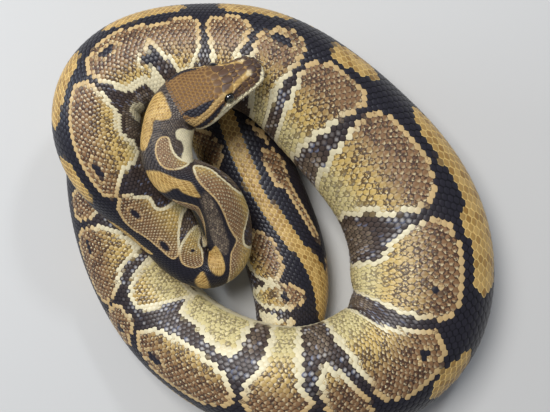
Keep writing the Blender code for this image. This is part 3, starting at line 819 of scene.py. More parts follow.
def build_skin(finish):
    first_middle = head_axes(head_rows[:1])[0]
    forward = unit(first_middle - body.read(head_rows[:1] + 3)[:, :3])[0]
    nose = head_hide.points[0, :-1]
    centre = nose.mean(axis=0)
    caps = [centre + (nose - centre) * t + forward * 0.3 * (1 - t * t) for t in (0.3, 0.6, 0.85)]
    head_points = np.concatenate([np.array(caps), head_hide.points[:, :-1]])
    head_s = np.concatenate([[0.1, 0.2, 0.3], head_rows])
    body_points = body_hide.points[1:, :-1:2]
    count, columns, slim = len(head_points), HEAD_COLUMNS, BODY_COLUMNS
    tip = body_hide.points[-1].mean(axis=0) + unit(body.frames(np.array([body.length - 2]))[1])[0] * 0.3
    vertices = np.concatenate([
        (centre + forward * 0.3)[None], head_points.reshape(-1, 3), body_points.reshape(-1, 3), tip[None],
    ])  # fmt: skip
    all_s = np.concatenate([
        [0.0], np.repeat(head_s, columns), np.repeat(body_rows[1:], slim), [body.length],
    ])  # fmt: skip
    head_g, body_g = head_hide.g[:-1], body_hide.g[:-1:2]
    all_g = np.concatenate([[0.0], np.tile(head_g, count), np.tile(body_g, len(body_points)), [0.0]])
    j = np.arange(columns)
    after = (j + 1) % columns
    nose_fan = np.stack([np.zeros_like(j), 1 + j, 1 + after], axis=1)
    head_quads = [quads(1 + i * columns, 1 + (i + 1) * columns, columns) for i in range(count - 1)]
    edge, start = 1 + (count - 1) * columns, 1 + count * columns
    k = np.arange(slim)
    following = (k + 1) % slim
    seam_quads = np.stack([edge + 2 * k, start + k, start + following, edge + 2 * k + 1], axis=1)
    seam_triangles = np.stack([edge + 2 * k + 1, start + following, edge + (2 * k + 2) % columns], axis=1)
    body_starts = [start + i * slim for i in range(len(body_points))]
    body_quads = [quads(near, near + slim, slim) for near in body_starts[:-1]]
    last = body_starts[-1]
    tail_fan = np.stack([last + k, np.full_like(k, len(vertices) - 1), last + following], axis=1)
    four = np.concatenate(head_quads + [seam_quads] + body_quads)
    three = np.concatenate([nose_fan, seam_triangles, tail_fan])
    mesh = mesh_from("skin", vertices, [four, three])
    corner = np.empty(len(mesh.loops), np.int32)
    mesh.loops.foreach_get("vertex_index", corner)
    unwrap = []
    for block in (corner[: four.size].reshape(-1, 4), corner[four.size :].reshape(-1, 3)):
        share = all_g[block]
        wrapped = (share.max(axis=1, keepdims=True) - share.min(axis=1, keepdims=True)) > 1
        share = np.where(wrapped & (share < 0), share + 2, share)
        unwrap.append(unwrap_skin(all_s[block], share).reshape(-1, 2))
    layer = mesh.uv_layers.new(name="OFBake")
    layer.data.foreach_set("uv", np.concatenate(unwrap).astype(np.float32).ravel())
    values = marks(all_s, all_g)
    head_values(values, vertices, all_s)
    values["edge"] = np.ones(len(vertices))
    values["chance"] = np.full(len(vertices), 0.5)
    values["tip"] = np.zeros(len(vertices))
    values["head"] = 1 - smooth_step(HEAD_LENGTH, 47, all_s)
    set_marks(mesh, values)
    return link("skin", mesh, finish)


def head_values(values, vertices, s):
    """Puts the head's own marks over the body's where the place is on the head."""
    on_head = s < HEAD_MARKS_END
    own = marks_round_head(s[on_head], vertices[on_head])
    blend = 1 - smooth_step(HEAD_LENGTH, 50, s[on_head])
    for name, amount in own.items():
        before = values[name][on_head]
        mixed = np.maximum(amount * blend, before * (1 - blend))
        values[name][on_head] = np.where(blend > 0.02, mixed, before)
    for name in ("tan", "rim", "spot"):
        values[name][on_head] *= 1 - blend


# %% [markdown]
# ## Finishes
# One recipe colours both the skin and the scales, so that they agree. It lays the marks one over
# another: near-black first, then brown, bluish glints and pale middles in the gaps, tan with its
# speckle, cream rims, gold, dark spots and belly cream. The pale tips of tan and brown scales are partly
# their own colour and partly a painted highlight, the glints are painted highlights, and the dark in the
# heat pits and nostrils is painted shade. Sums of numbers are written as sums, and a small class turns
# them into the nodes.

# %% Node helpers
def display(red, green, blue):
    """A colour given as it looks on a screen, 0 to 255, as the linear light that shaders use."""

    def linear(value):
        value /= 255
        return value / 12.92 if value <= 0.04045 else ((value + 0.055) / 1.055) ** 2.4

    return (linear(red), linear(green), linear(blue), 1.0)


class Amount:
    """A number that varies over the surface: +, - and * on it add the nodes that work it out."""

    def __init__(self, recipe, socket):
        self.recipe, self.socket = recipe, socket

    def combine(self, operation, first, second):
        settings = {"operation": operation}
        return Amount(self.recipe, self.recipe.node("ShaderNodeMath", settings, [first, second]))

    def __add__(self, other):
        return self.combine("ADD", self, other)

    def __sub__(self, other):
        return self.combine("SUBTRACT", self, other)

    def __rsub__(self, other):
        return self.combine("SUBTRACT", other, self)

    def __mul__(self, other):
        return self.combine("MULTIPLY", self, other)

    __radd__, __rmul__ = __add__, __mul__


class Recipe:
    """A material in the making, with one method that adds any node to it."""

    def __init__(self, name):
        self.finish = bpy.data.materials.new(name)
        self.finish.use_nodes = True
        self.tree = self.finish.node_tree
        self.shader = self.tree.nodes["Principled BSDF"]

    def put(self, value, socket):
        if isinstance(value, Amount):
            value = value.socket
        if isinstance(value, bpy.types.NodeSocket):
            self.tree.links.new(value, socket)
        elif value is not None:
            socket.default_value = value

    def node(self, kind, settings=None, values=(), output=0):
        """Adds a node, makes its settings, then fills its sockets from a list or by their names."""
        made = self.tree.nodes.new(kind)
        for setting, value in (settings or {}).items():
            setattr(made, setting, value)
        for key, value in values.items() if isinstance(values, dict) else enumerate(values):
            self.put(value, made.inputs[key])
        return made.outputs[output]

    def mark(self, name):
        return Amount(self, self.node("ShaderNodeAttribute", {"attribute_name": name}, output="Fac"))

    def noise(self, scale, detail=2.0, roughness=0.5):
        place = self.node("ShaderNodeTexCoord", output="Object")
        values = {"Vector": place, "Scale": scale, "Detail": detail, "Roughness": roughness}
        return Amount(self, self.node("ShaderNodeTexNoise", values=values, output="Fac"))

    def step(self, low, high, amount):
        """0 where the amount is under low, 1 where it is over high, and smooth between them."""
        settings = {"interpolation_type": "SMOOTHSTEP"}
        values = {"Value": amount, "From Min": low, "From Max": high}
        return Amount(self, self.node("ShaderNodeMapRange", settings, values))

    def mix(self, share, first, second, blend="MIX"):
        settings = {"data_type": "RGBA", "blend_type": blend}
        return self.node("ShaderNodeMix", settings, {0: share, 6: first, 7: second}, output=2)

    def set(self, **values):
        for name, value in values.items():
            self.put(value, self.shader.inputs[name.replace("_", " ")])


# %% The python's skin and scales
BLACK, DARK, DARK_LOW = display(16, 15, 19), display(38, 36, 44), display(82, 68, 60)
BROWN, GLINT_BLUE, SALT = display(134, 116, 98), display(130, 140, 168), display(206, 204, 200)
CROWN, CROWN_FRONT, CROWN_DOT = display(146, 110, 62), display(100, 76, 58), display(92, 62, 38)
CROWN_LINE = display(172, 136, 86)
TAN, TAN_LOW, TAN_BELLY = display(138, 104, 72), display(208, 176, 104), display(220, 204, 146)
# the pale tip colour: partly the scales' own pale tips, partly a painted highlight on them
TAN_DEEP, PALE_TIP_AND_HIGHLIGHT = display(62, 42, 36), display(240, 224, 180)
RIM, RIM_TOP = display(226, 214, 178), display(200, 170, 120)
GOLD_DEEP, GOLD_LINE = display(156, 118, 60), display(226, 194, 124)
GOLD_HEAD = display(176, 146, 98)
PALE = display(232, 220, 184)


def python_finish(name, roughness, wrinkled):
    """Colours from the marks, laid one over another. Each scale has its own outline and tip; tan and brown
    tips get a painted highlight.
    """
    recipe = Recipe(name)
    low, chance, edge = recipe.mark("low"), recipe.mark("chance"), recipe.mark("edge")
    tip, head = recipe.mark("tip"), recipe.mark("head")
    grain = recipe.noise(850, 3.0, 0.6)
    patchy = recipe.noise(70, 2.0)
    line = recipe.step(0.45, 0.85, edge)
    colour = recipe.mix(low, DARK, DARK_LOW)
    small_shields = recipe.step(0.5, 0.9, head)
    crown = recipe.mix(small_shields, CROWN_FRONT, CROWN)
    crown = recipe.mix(small_shields * (1 - recipe.step(0.15, 0.6, edge)) * 0.75, crown, CROWN_DOT)
    crown = recipe.mix(recipe.step(0.50, 0.62, grain) * 0.25, crown, CROWN_DOT)
    crown = recipe.mix(recipe.step(0.45, 0.62, patchy) * 0.4, crown, CROWN_DOT)
    crown = recipe.mix(line * (0.2 + small_shields * 0.4), crown, CROWN_LINE)
    # lit: where a scale's tip catches the light; it lays a painted highlight on tan and brown scales
    lit = recipe.step(0.5, 0.85, tip) * (1 - recipe.step(0.6, 0.95, edge))
    brown_speckle_and_highlight = recipe.mix(recipe.step(0.42, 0.60, grain) * 0.4, BROWN, DARK)
    # painted highlight on the tips of brown scales
    brown_speckle_and_highlight = recipe.mix(lit * chance * 0.35, brown_speckle_and_highlight, PALE_TIP_AND_HIGHLIGHT)
    brown = recipe.mix(recipe.step(0.05, 0.3, head), brown_speckle_and_highlight, crown)
    colour = recipe.mix(recipe.mark("brown") * (head + (1 - head) * (0.45 + chance * 0.55)), colour, brown)
    colour = recipe.mix(line * (1 - head) * 0.8, colour, BLACK)
    # painted glint: a bluish highlight painted on the tips of some dark scales low on the flank
    glint = recipe.step(0.5, 0.85, tip) * recipe.step(0.6, 1.0, chance) * recipe.step(0.3, 0.6, low)
    colour = recipe.mix(glint * (1 - head) * 0.5, colour, GLINT_BLUE)
    salt = recipe.mark("salt") * recipe.step(0.45, 0.75, chance) * (1 - recipe.step(0.08, 0.28, edge))
    colour = recipe.mix(salt * 0.6, colour, SALT)
    tan = recipe.mix(recipe.step(0.15, 0.75, low + (patchy - 0.5) * 0.3), TAN, TAN_LOW)
    tan = recipe.mix(recipe.step(0.75, 1.0, low), tan, TAN_BELLY)
    # pale tips of tan scales, partly their own colour and partly a painted highlight
    tan = recipe.mix(lit * (0.2 + chance * 0.8), tan, PALE_TIP_AND_HIGHLIGHT)
    speckle = recipe.step(0.40, 0.62, grain * 0.8 + chance * 0.2)
    fleck = recipe.step(0.40, 0.78, edge * 0.55 + speckle * 0.65)
    worn = 1 - recipe.step(0.6, 1.0, low) * 0.3
    tan = recipe.mix(fleck * worn * (0.9 - recipe.mark("calm") * 0.4), tan, TAN_DEEP)
    colour = recipe.mix(recipe.mark("tan"), colour, tan)
    rim = recipe.mix(recipe.step(0.1, 0.45, low), RIM_TOP, RIM)
    rim_share = recipe.step(0.38, 0.60, recipe.mark("rim") + (grain - 0.5) * 0.9)
    colour = recipe.mix(rim_share, colour, rim)
    gold = recipe.mix(line, recipe.mix(chance * 0.4, GOLD_DEEP, GOLD_LINE), GOLD_LINE)
    gold = recipe.mix(recipe.step(0.2, 0.8, head) * 0.6, gold, GOLD_HEAD)
    colour = recipe.mix(recipe.mark("gold"), colour, gold)
    # spot: the dark spots in the blotches, and on the head painted shade in the heat pits and nostrils
    colour = recipe.mix(recipe.mark("spot"), colour, DARK)
    colour = recipe.mix(recipe.mark("pale"), colour, PALE)
    shade = 0.86 + chance * 0.16 + patchy * 0.12
    vector = recipe.node("ShaderNodeCombineXYZ", values=[shade, shade, shade])
    colour = recipe.mix(1.0, colour, vector, "MULTIPLY")
    rough = roughness + grain * 0.12 + head * 0.18
    height = grain if wrinkled else recipe.noise(900, 2.0)
    bump_values = {"Strength": 0.35 if wrinkled else 0.12, "Distance": 0.0002, "Height": height}
    normal = recipe.node("ShaderNodeBump", values=bump_values)
    recipe.set(Base_Color=colour, Roughness=rough, Normal=normal, Specular_IOR_Level=0.36)
    return recipe.finish


skin_finish = python_finish("python skin", 0.5, True)
scale_finish = python_finish("python scales", 0.3, False)

# %% Build it
skin = build_skin(skin_finish)
flesh = ["head", "lower_jaw", "neck", "tail"]
flesh += [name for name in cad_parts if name.startswith("trunk_")]
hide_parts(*flesh)
print("skin:", len(skin.data.polygons), "faces, box in mm:", [round(v / MM, 1) for v in skin.dimensions])

# %% [markdown]
# ## The scales
# A ball python has some fifty-five rows of smooth scales round its middle. Each is a small plate,
# fixed at its front edge and free at its back, that lies over the one behind it, and each row is half
# a scale out of step with the next. One scale is drawn once, as a plate of twenty-five points. It is
# then laid at every place of a lattice that is stretched with the body: rows are closest on the upper
# flank, and each row's scales crowd together where the body bends or grows slender.

# %% The lattice that the scales lie on
ROWS = 27  # on each side of the row along the spine
COAT_START = 41.0
COAT_END = body.length - 0.8
# From one scale to the next in its row, in mm, along the body: the skin is crowded where it bends.
REPEATS = [
    (41, 1.5), (60, 1.5), (80, 2.1), (110, 2.5), (140, 2.1), (160, 1.8), (185, 1.8), (236, 2.5),
    (267, 2.4), (307, 2.3), (341, 2.0), (363, 2.3), (385, 3.3), (400, 3.9), (445, 4.2), (510, 3.7),
    (550, 3.2), (580, 3.1), (605, 2.7), (626, 2.6), (650, 3.3), (672, 3.5), (700, 3.0), (746, 2.4),
    (780, 2.5), (860, 2.9), (920, 3.1), (980, 3.1), (1040, 2.6), (1100, 1.8), (1142, 1.2),
]  # fmt: skip
# Room that a row takes round the body, against the mean: share of the half girth, and how much.
ROOM = [(0, 1.15), (0.12, 1.0), (0.27, 0.8), (0.42, 1.02), (0.84, 1.1)]
fine_s = np.linspace(COAT_START, COAT_END, 4000)
turns = np.concatenate([[0], np.cumsum(np.diff(fine_s) / np.interp(fine_s[1:], *np.transpose(REPEATS)))])
fine_g = np.linspace(0, BELLY_EDGE, 400)
rows_passed = np.concatenate([[0], np.cumsum(1 / np.interp(fine_g[1:], *np.transpose(ROOM)))])
rows_passed *= (ROWS + 0.5) / rows_passed[-1]


def lattice_s(q):
    return np.interp(q, turns, fine_s)


def lattice_g(r):
    return np.sign(r) * np.interp(np.abs(r), rows_passed, fine_g)


# One scale: along (- is its front), across, and height as a share of the coat's depth.
HALF_OUTLINE = [(-0.54, 0.20, 0.10), (-0.06, 0.74, 0.40), (0.33, 0.46, 0.66), (0.55, 0.14, 0.78)]


def scale_template():
    """Points, faces and edge marks of one closed scale: middle, inner ring, outer ring, foot."""
    outline = np.array(HALF_OUTLINE + [(a, -b, h) for a, b, h in reversed(HALF_OUTLINE)])
    inner = outline * (0.66, 0.66, 1)
    inner[:, 2] = outline[:, 2] * 0.45 + 0.5
    foot = outline * (0.98, 0.98, 0) + (0, 0, -0.3)
    points = np.concatenate([[(0.02, 0, 1.0)], inner, outline, foot])
    k = np.arange(8)
    after = (k + 1) % 8
    faces = [(0, 1 + b, 1 + a) for a, b in zip(k, after)]
    for start in (1, 9):
        faces += [(start + a, start + b, start + 8 + b) for a, b in zip(k, after)]
        faces += [(start + a, start + 8 + b, start + 8 + a) for a, b in zip(k, after)]
    faces += [(17, 17 + a, 17 + a + 1) for a in range(1, 7)]
    edge = np.concatenate([[0.0], np.full(8, 0.25), np.ones(16)])
    return points, np.array(faces), edge


template, template_faces, template_edge = scale_template()


def spread(points, q, r, size):
    """Where on the unrolled hide the points of one template come, at each lattice place."""
    a = q[:, None] + points[None, :, 0] * size[:, None]
    b = r[:, None] + points[None, :, 1] * size[:, None]
    return lattice_s(a), lattice_g(b)


def lay(points, q, r, size, tilt):
    """Places the points of one template at each lattice place, following the hide."""
    s, g = spread(points, q, r, size)
    place, normal = body_hide.at(s, g)
    height = points[None, :, 2] * (1 + tilt[:, None] * points[None, :, 0]) * coat_depth(s)
    return place + height[..., None] * normal


PATCH = 0.003  # width of one scale on the unwrap
SCALE_SHARP, SHIELD_SHARP = 50, 55  # degrees between faces from which an edge stays crisp


def coat_piece(name, vertices, faces, values, along_share, round_share, sharp):
    """Joins laid templates into one mesh. vertices is (count, points of one, 3); the two shares are the
    places of the roots on the unrolled hide, where each scale is a small round patch of its own."""
    count, size = vertices.shape[:2]
    all_faces = (faces[None] + (np.arange(count) * size)[:, None, None]).reshape(-1, 3)
    mesh = mesh_from(name, vertices.reshape(-1, 3), [all_faces])
    root = np.stack([along_share * 0.98 + 0.01, (round_share + 1) / 2 * 0.98 + 0.01], axis=-1)
    flat = vertices - vertices.mean(axis=1, keepdims=True)
    first = unit(flat[:, 1] - flat[:, size // 2])
    second = unit(np.cross(first, np.cross(first, flat[:, size // 4] + 1e-6)))
    local = np.stack([np.einsum("nkx,nx->nk", flat, first), np.einsum("nkx,nx->nk", flat, second)], axis=-1)
    patch = root[:, None] + local / np.abs(local).max(axis=(1, 2), keepdims=True) * PATCH / 2
    corner = np.empty(len(mesh.loops), np.int32)
    mesh.loops.foreach_get("vertex_index", corner)
    layer = mesh.uv_layers.new(name="OFBake")
    layer.data.foreach_set("uv", patch.reshape(-1, 2)[corner].astype(np.float32).ravel())
    values.setdefault("tip", np.zeros(count * size))
    values.setdefault("head", np.zeros(count * size))
    set_marks(mesh, values)
    mesh.set_sharp_from_angle(angle=math.radians(sharp))
    return link(name, mesh, scale_finish)


# %% Lay the body's scales
FINE_END = 215  # up to here from the snout, a border may cross a scale, because they are so small
all_rows = np.arange(-ROWS, ROWS + 1)
in_row = np.arange(0, int(turns[-1]) - 1)
q, r = np.meshgrid(in_row, all_rows, indexing="ij")
q = (q + 0.6 + 0.5 * (np.abs(r) % 2)).ravel()
r = r.ravel().astype(float)
order = np.argsort(q, kind="stable")
q, r = q[order], r[order]
scale_draw = np.random.default_rng(11)
size = scale_draw.uniform(0.96, 1.03, len(q))
tilt = scale_draw.uniform(-0.12, 0.12, len(q))
chance = scale_draw.uniform(0, 1, len(q))
root_s, root_g = lattice_s(q), lattice_g(r)
scale_marks = marks(root_s, root_g)
scale_marks["chance"] = chance
fine, rest = np.nonzero(root_s < FINE_END)[0], np.nonzero(root_s >= FINE_END)[0]
for number, part in enumerate(np.array_split(fine, 2) + np.array_split(rest, 6), 1):
    placed = lay(template, q[part], r[part], size[part], tilt[part])
    values = {key: np.repeat(amount[part], len(template)) for key, amount in scale_marks.items()}
    if root_s[part[0]] < FINE_END:
        s, g = spread(template, q[part], r[part], size[part])
        values.update(marks(s.ravel(), g.ravel()))
    values["edge"] = np.tile(template_edge, len(part))
    values["tip"] = np.tile(template[:, 0] + 0.5, len(part))
    span = np.ptp(root_s[part])
    piece = coat_piece(
        f"scales_{number}", placed, template_faces, values,
        (root_s[part] - root_s[part].min()) / span, root_g[part], SCALE_SHARP,
    )  # fmt: skip
    print(piece.name, len(part), "scales", len(piece.data.polygons), "faces")

# %% [markdown]
# ## Belly plates
# Under the body a single row of wide plates runs from the throat to the vent, each lapping the next.
# They hardly show from above, but the flank's scales end at them, and the animal rests on them.

# %% Lay the belly plates
BELLY_PITCH = 2.0  # scales of the flank to one belly plate
BELLY_LAP = 0.015  # share of the half girth that a plate reaches under the flank's last scales
ACROSS = 15  # points across one belly plate


def two_triangles(near, far):
    """The quad between two points and the ones after them in their rows."""
    return [(near, far, far + 1), (near, far + 1, near + 1)]


def belly_template():
    """Points (along, share across from -1 to 1, height), faces and edge marks of one belly plate."""
    across = np.linspace(-1, 1, ACROSS)
    taper = 1 - 0.45 * np.abs(across) ** 5
    rows = [(-0.60, 0.05), (-0.1, 0.55), (0.40, 0.80), (0.56, 0.62)]
    points = [(a * taper[k], across[k], h) for a, h in rows for k in range(ACROSS)]
    points += [(a * taper[k], across[k], -0.3) for a in (-0.58, 0.54) for k in range(ACROSS)]
    faces = []
    for row in range(3):
        for k in range(ACROSS - 1):
            faces += two_triangles(row * ACROSS + k, (row + 1) * ACROSS + k)
    front, back, foot_front, foot_back = 0, 3 * ACROSS, 4 * ACROSS, 5 * ACROSS
    for k in range(ACROSS - 1):
        faces += two_triangles(foot_front + k, front + k)
        faces += two_triangles(back + k, foot_back + k)
        faces += two_triangles(foot_back + k, foot_front + k)
    for k, flip in ((0, False), (ACROSS - 1, True)):
        loop = [foot_front + k, foot_back + k, back + k, 2 * ACROSS + k, ACROSS + k, front + k]
        for a, b in zip(loop[1:], loop[2:]):
            faces.append((loop[0], b, a) if flip else (loop[0], a, b))
    edge = np.array([1.0] * ACROSS + [0.2] * ACROSS + [0.3] * ACROSS + [1.0] * ACROSS * 3)
    return np.array(points), np.array(faces), edge


belly_points, belly_faces, belly_edge = belly_template()
belly_q = np.arange(1.0, turns[-1] - 1, BELLY_PITCH)
belly_share = 1.0 - BELLY_EDGE + BELLY_LAP
belly_s = lattice_s(belly_q[:, None] + belly_points[None, :, 0] * BELLY_PITCH)
belly_g = np.broadcast_to((1 + belly_points[:, 1] * belly_share + 1) % 2 - 1, belly_s.shape)
belly_place, belly_normal = body_hide.at(belly_s, belly_g)
belly_height = belly_points[None, :, 2] * coat_depth(belly_s)
belly_values = marks(belly_s, belly_g)
belly_values["chance"] = np.repeat(draw.uniform(0.3, 0.7, len(belly_q)), len(belly_points))
belly_values["edge"] = np.tile(belly_edge, len(belly_q))
belly = coat_piece(
    "belly_plates", belly_place + belly_height[..., None] * belly_normal, belly_faces, belly_values,
    np.arange(len(belly_q)) / len(belly_q), np.zeros(len(belly_q)), SCALE_SHARP,
)  # fmt: skip
print("belly plates:", len(belly_q), "faces:", len(belly.data.polygons))

# %% [markdown]
# ## The shields of the head
# The front of a python's head wears large shields in pairs, the lips a row of upright plates, and the
# rest small scales, finest near the neck. Each shield is a cell round its own middle: it claims the
# skin up to halfway to its neighbours, or further where it is a large one. The cells are worked out
# flat, one at a time, rounded at their corners, and laid back on the skin.

# %% Middles of the shields: back from the snout, out, up, and how strongly each claims its room
PLAIN, PITTED, HOLED = 0, 1, 2  # kinds of shield: a pitted one holds a heat pit, a holed one the nostril
NOSTRIL = (2.4, 5.0, 2.2, 1.6)
MIDLINE = [(0.2, 0, -0.6, 2.3), (1.2, 0, -3.0, 1.5)]
PAIRED = [
    # between the nostrils, and the two pairs behind them
    (1.7, 1.5, 3.4, 1.5), (5.0, 2.1, 4.6, 2.3), (10.2, 1.7, 5.9, 2.0), (13.6, 4.5, 6.3, 1.8),
    (9.4, 5.0, 5.2, 1.6), (5.6, 5.5, 4.3, 1.4), (13.9, 1.2, 6.7, 1.2),
    # crown: the split shield between the eyes, the brow shield, and those behind
    (18.2, 1.9, 7.5, 2.5), (19.8, 6.3, 6.9, 2.7), (23.3, 1.6, 8.2, 1.7), (24.6, 4.9, 8.0, 1.7),
    (14.6, 7.4, 5.3, 1.2),
    # nostril, then the side of the snout back to the eye
    NOSTRIL, (5.6, 7.4, 2.3, 1.4), (8.5, 8.0, 3.6, 1.2), (8.6, 8.8, 1.3, 1.3),
    (11.4, 8.2, 3.9, 1.2), (11.6, 9.2, 1.6, 1.2), (14.3, 8.5, 3.5, 1.1), (14.4, 9.6, 1.4, 1.1),
    (16.9, 9.0, 4.9, 1.0), (17.2, 9.8, 1.2, 1.0),
]  # fmt: skip
UPPER_LIPS, LOWER_LIPS = 12, 14
PITTED_LIPS = 5  # upper lip plates, from the second, that hold a heat pit
FACE_SIDE = 20  # in place of a reach out: wherever the side of the face is at that height
FACE_AIM = 14  # mm out: a place beside the face, from where its nearest skin is looked for
EYE_RING, RING_BACK, RING_UP = 8, 3.9, 3.6  # small scales round the eye, and their ring's two radii
BROW_HEIGHT = 6.4  # over this the brow shield takes their room
WINDOW_OUT = EYE_OUT + 1.6  # how far out the middle of the eye's round window is
EYE_OPENING = 2.55  # radius of the round window of skin that the eye shows through
GRAIN, GRAIN_REAR = 2.3, 1.9  # spacing of the small scales, on the face and at the back of the head
GRAINS_FROM, GRAINS_END = 3.0, 44.5  # where along the head they lie
GRAIN_SIZE = 0.8  # how strongly a small scale claims its room


def shield_seeds():
    """Each seed: back, out, up, how strongly it claims its room, and its kind."""
    table = [(row, HOLED if row == NOSTRIL else PLAIN) for row in MIDLINE + PAIRED]
    for i in range(UPPER_LIPS):
        row = (1.6 + 2.95 * i, FACE_SIDE, -0.9 - 0.02 * i, 1.55)
        table.append((row, PITTED if 1 <= i <= PITTED_LIPS else PLAIN))
    table += [((2.2 + 2.5 * i, FACE_SIDE, -3.75, 1.3), PLAIN) for i in range(LOWER_LIPS)]
    for turn in np.arange(EYE_RING) * 2 * math.pi / EYE_RING + 0.2:
        back, up = EYE_BACK + RING_BACK * math.cos(turn), EYE_UP + RING_UP * math.sin(turn)
        if up < BROW_HEIGHT:
            table.append(((back, FACE_SIDE, up, 0.75), PLAIN))
    seeds = []
    for (back, out, up, size), kind in table:
        for side in (1, -1) if out else (1,):
            seeds.append((back, side * out, up, size, kind))
    return seeds


def grain_seeds(taken):
    """Small scales over the rest of the head, row by row, where no shield has its place."""
    found = []
    s, odd = GRAINS_FROM, 0
    while s < GRAINS_END:
        pitch = GRAIN + (GRAIN_REAR - GRAIN) * smooth_step(24, 40, s)
        girth = np.interp(s, head_hide.s, head_hide.girth)
        count = int(round(girth / (pitch * 1.05) / 2)) * 2
        for k in range(count):
            g = -1 + (k + 0.5 * odd + 0.25) * 2 / count
            jitter = draw.uniform(-0.12, 0.12, 2)
            found.append((s + jitter[0], g + jitter[1] * 2 / girth))
        s += pitch * 0.86
        odd = 1 - odd
    found = np.array(found)
    place, _ = head_hide.at(found[:, 0], found[:, 1])
    room = np.linalg.norm(place[:, None] - taken[None, :, :3], axis=2) - taken[None, :, 3] * 1.15
    clear = (room > 0.55).all(axis=1)
    for side in (1, -1):
        window = head_place(EYE_BACK, side * WINDOW_OUT, EYE_UP)
        clear &= np.linalg.norm(place - window, axis=1) > EYE_OPENING + 1.0
    return found[clear]


def skin_tree():
    """The head's part of the skin, ready to be asked for its nearest place."""
    mesh = skin.data
    points = np.empty(len(mesh.vertices) * 3, np.float32)
    mesh.vertices.foreach_get("co", points)
    points = points.reshape(-1, 3) / MM
    last = (len(head_rows) + 20) * HEAD_COLUMNS  # the head's points come first, then some of the neck's
    faces = [tuple(face.vertices) for face in mesh.polygons if face.vertices[0] < last]
    return BVHTree.FromPolygons([Vector(point) for point in points], faces)


def clip(polygon, direction, limit):
    """The part of a flat polygon where its reach along the direction is within the limit."""
    reach = polygon @ direction - limit
    kept = []
    for i, point in enumerate(polygon):
        before, previous = reach[i - 1], polygon[i - 1]
        if (reach[i] > 0) != (before > 0):
            kept.append(previous + (point - previous) * (before / (before - reach[i])))
        if reach[i] <= 0:
            kept.append(point)
    return np.array(kept)


def soften(polygon, points):
    """Rounds a polygon's corners and reads it again at evenly spaced points."""
    cut = 0.22
    for _ in range(2):
        following = np.roll(polygon, -1, axis=0)
        near, far = polygon * (1 - cut) + following * cut, polygon * cut + following * (1 - cut)
        polygon = np.stack([near, far], axis=1).reshape(-1, 2)
    closed = np.concatenate([polygon, polygon[:1]])
    along = np.concatenate([[0], np.cumsum(np.linalg.norm(np.diff(closed, axis=0), axis=1))])
    at = np.arange(points) * along[-1] / points
    return np.stack([np.interp(at, along, closed[:, i]) for i in range(2)], axis=-1)


# %% Lay the shields
SHIELD_POINTS = 12  # round one shield
SHIELD_GAP = 0.06  # mm from a shield's edge to the line halfway to its neighbour
SHIELD_REACH = 7.5  # mm: shields farther apart than this can't be neighbours
SMALLEST_SHIELD = 0.45  # mm: cells narrower than this are left out
WINDOW_REACH = 7  # mm from the middle of an eye's window within which a cell may be cut by it
PIT_HEIGHT, NOSTRIL_HEIGHT = -0.9, -1.6  # of the middle of such a shield, in coat depths
# Rings of one shield: share of the outline, and height as a share of the coat's depth.
RINGS = ((0.45, 0.97), (0.84, 0.88), (1.0, 0.55), (1.0, -0.35))


def shield_faces():
    k = np.arange(SHIELD_POINTS)
    after = (k + 1) % SHIELD_POINTS
    faces = [(0, 1 + a, 1 + b) for a, b in zip(k, after)]
    for ring in range(3):
        near, far = 1 + ring * SHIELD_POINTS, 1 + (ring + 1) * SHIELD_POINTS
        faces += [(near + a, far + a, far + b) for a, b in zip(k, after)]
        faces += [(near + a, far + b, near + b) for a, b in zip(k, after)]
    foot = 1 + 3 * SHIELD_POINTS
    faces += [(foot, foot + a + 1, foot + a) for a in range(1, SHIELD_POINTS - 1)]
    return np.array(faces)


def shield_roots(tree):
    """Place, size, kind and distance back of every shield and small scale of the head."""
    named = []
    for back, out, up, size, kind in shield_seeds():
        middle, right, crown = head_axes(np.array([back]))
        reach = math.copysign(FACE_AIM, out) if abs(out) == FACE_SIDE else out
        aim = middle[0] + right[0] * reach + crown[0] * up
        place, *_ = tree.find_nearest(Vector(aim))
        named.append((*place, size, kind, back))
    taken = np.array(named)
    grains = grain_seeds(taken)
    place, _ = head_hide.at(grains[:, 0], grains[:, 1])
    place = np.concatenate([taken[:, :3], place])
    size = np.concatenate([taken[:, 3], np.full(len(grains), GRAIN_SIZE)])
    kind = np.concatenate([taken[:, 4], np.full(len(grains), PLAIN)])
    return place, size, kind, np.concatenate([taken[:, 5], grains[:, 0]])


def shield_cell(i, place, size, normals, first, second):
    """The flat cell of shield i: a square cut along the borders to its neighbours and to the eyes."""
    away = place - place[i]
    distance = np.linalg.norm(away, axis=1)
    near = np.nonzero((distance < SHIELD_REACH) & (distance > 0.05) & (normals @ normals[i] > 0.1))[0]
    flat = np.stack([away[near] @ first[i], away[near] @ second[i]], axis=1)
    flat *= (distance[near] / np.maximum(np.linalg.norm(flat, axis=1), 1e-6))[:, None]
    borders = []
    for offset, other in zip(flat, near):
        length = np.linalg.norm(offset)
        limit = (length**2 + size[i] ** 2 - size[other] ** 2) / (2 * length) - SHIELD_GAP
        borders.append((offset / length, limit))
    for side in (1, -1):
        toward = head_place(EYE_BACK, side * WINDOW_OUT, EYE_UP) - place[i]
        if np.linalg.norm(toward) < WINDOW_REACH:
            offset = np.array([toward @ first[i], toward @ second[i]])
            length = np.linalg.norm(offset)
            borders.append((offset / length, length - EYE_OPENING))
    reach = size[i] + 1.2
    polygon = np.array([(-reach, -reach), (reach, -reach), (reach, reach), (-reach, reach)], float)
    for direction, limit in borders:
        if len(polygon) > 2:
            polygon = clip(polygon, direction, limit)
    return polygon


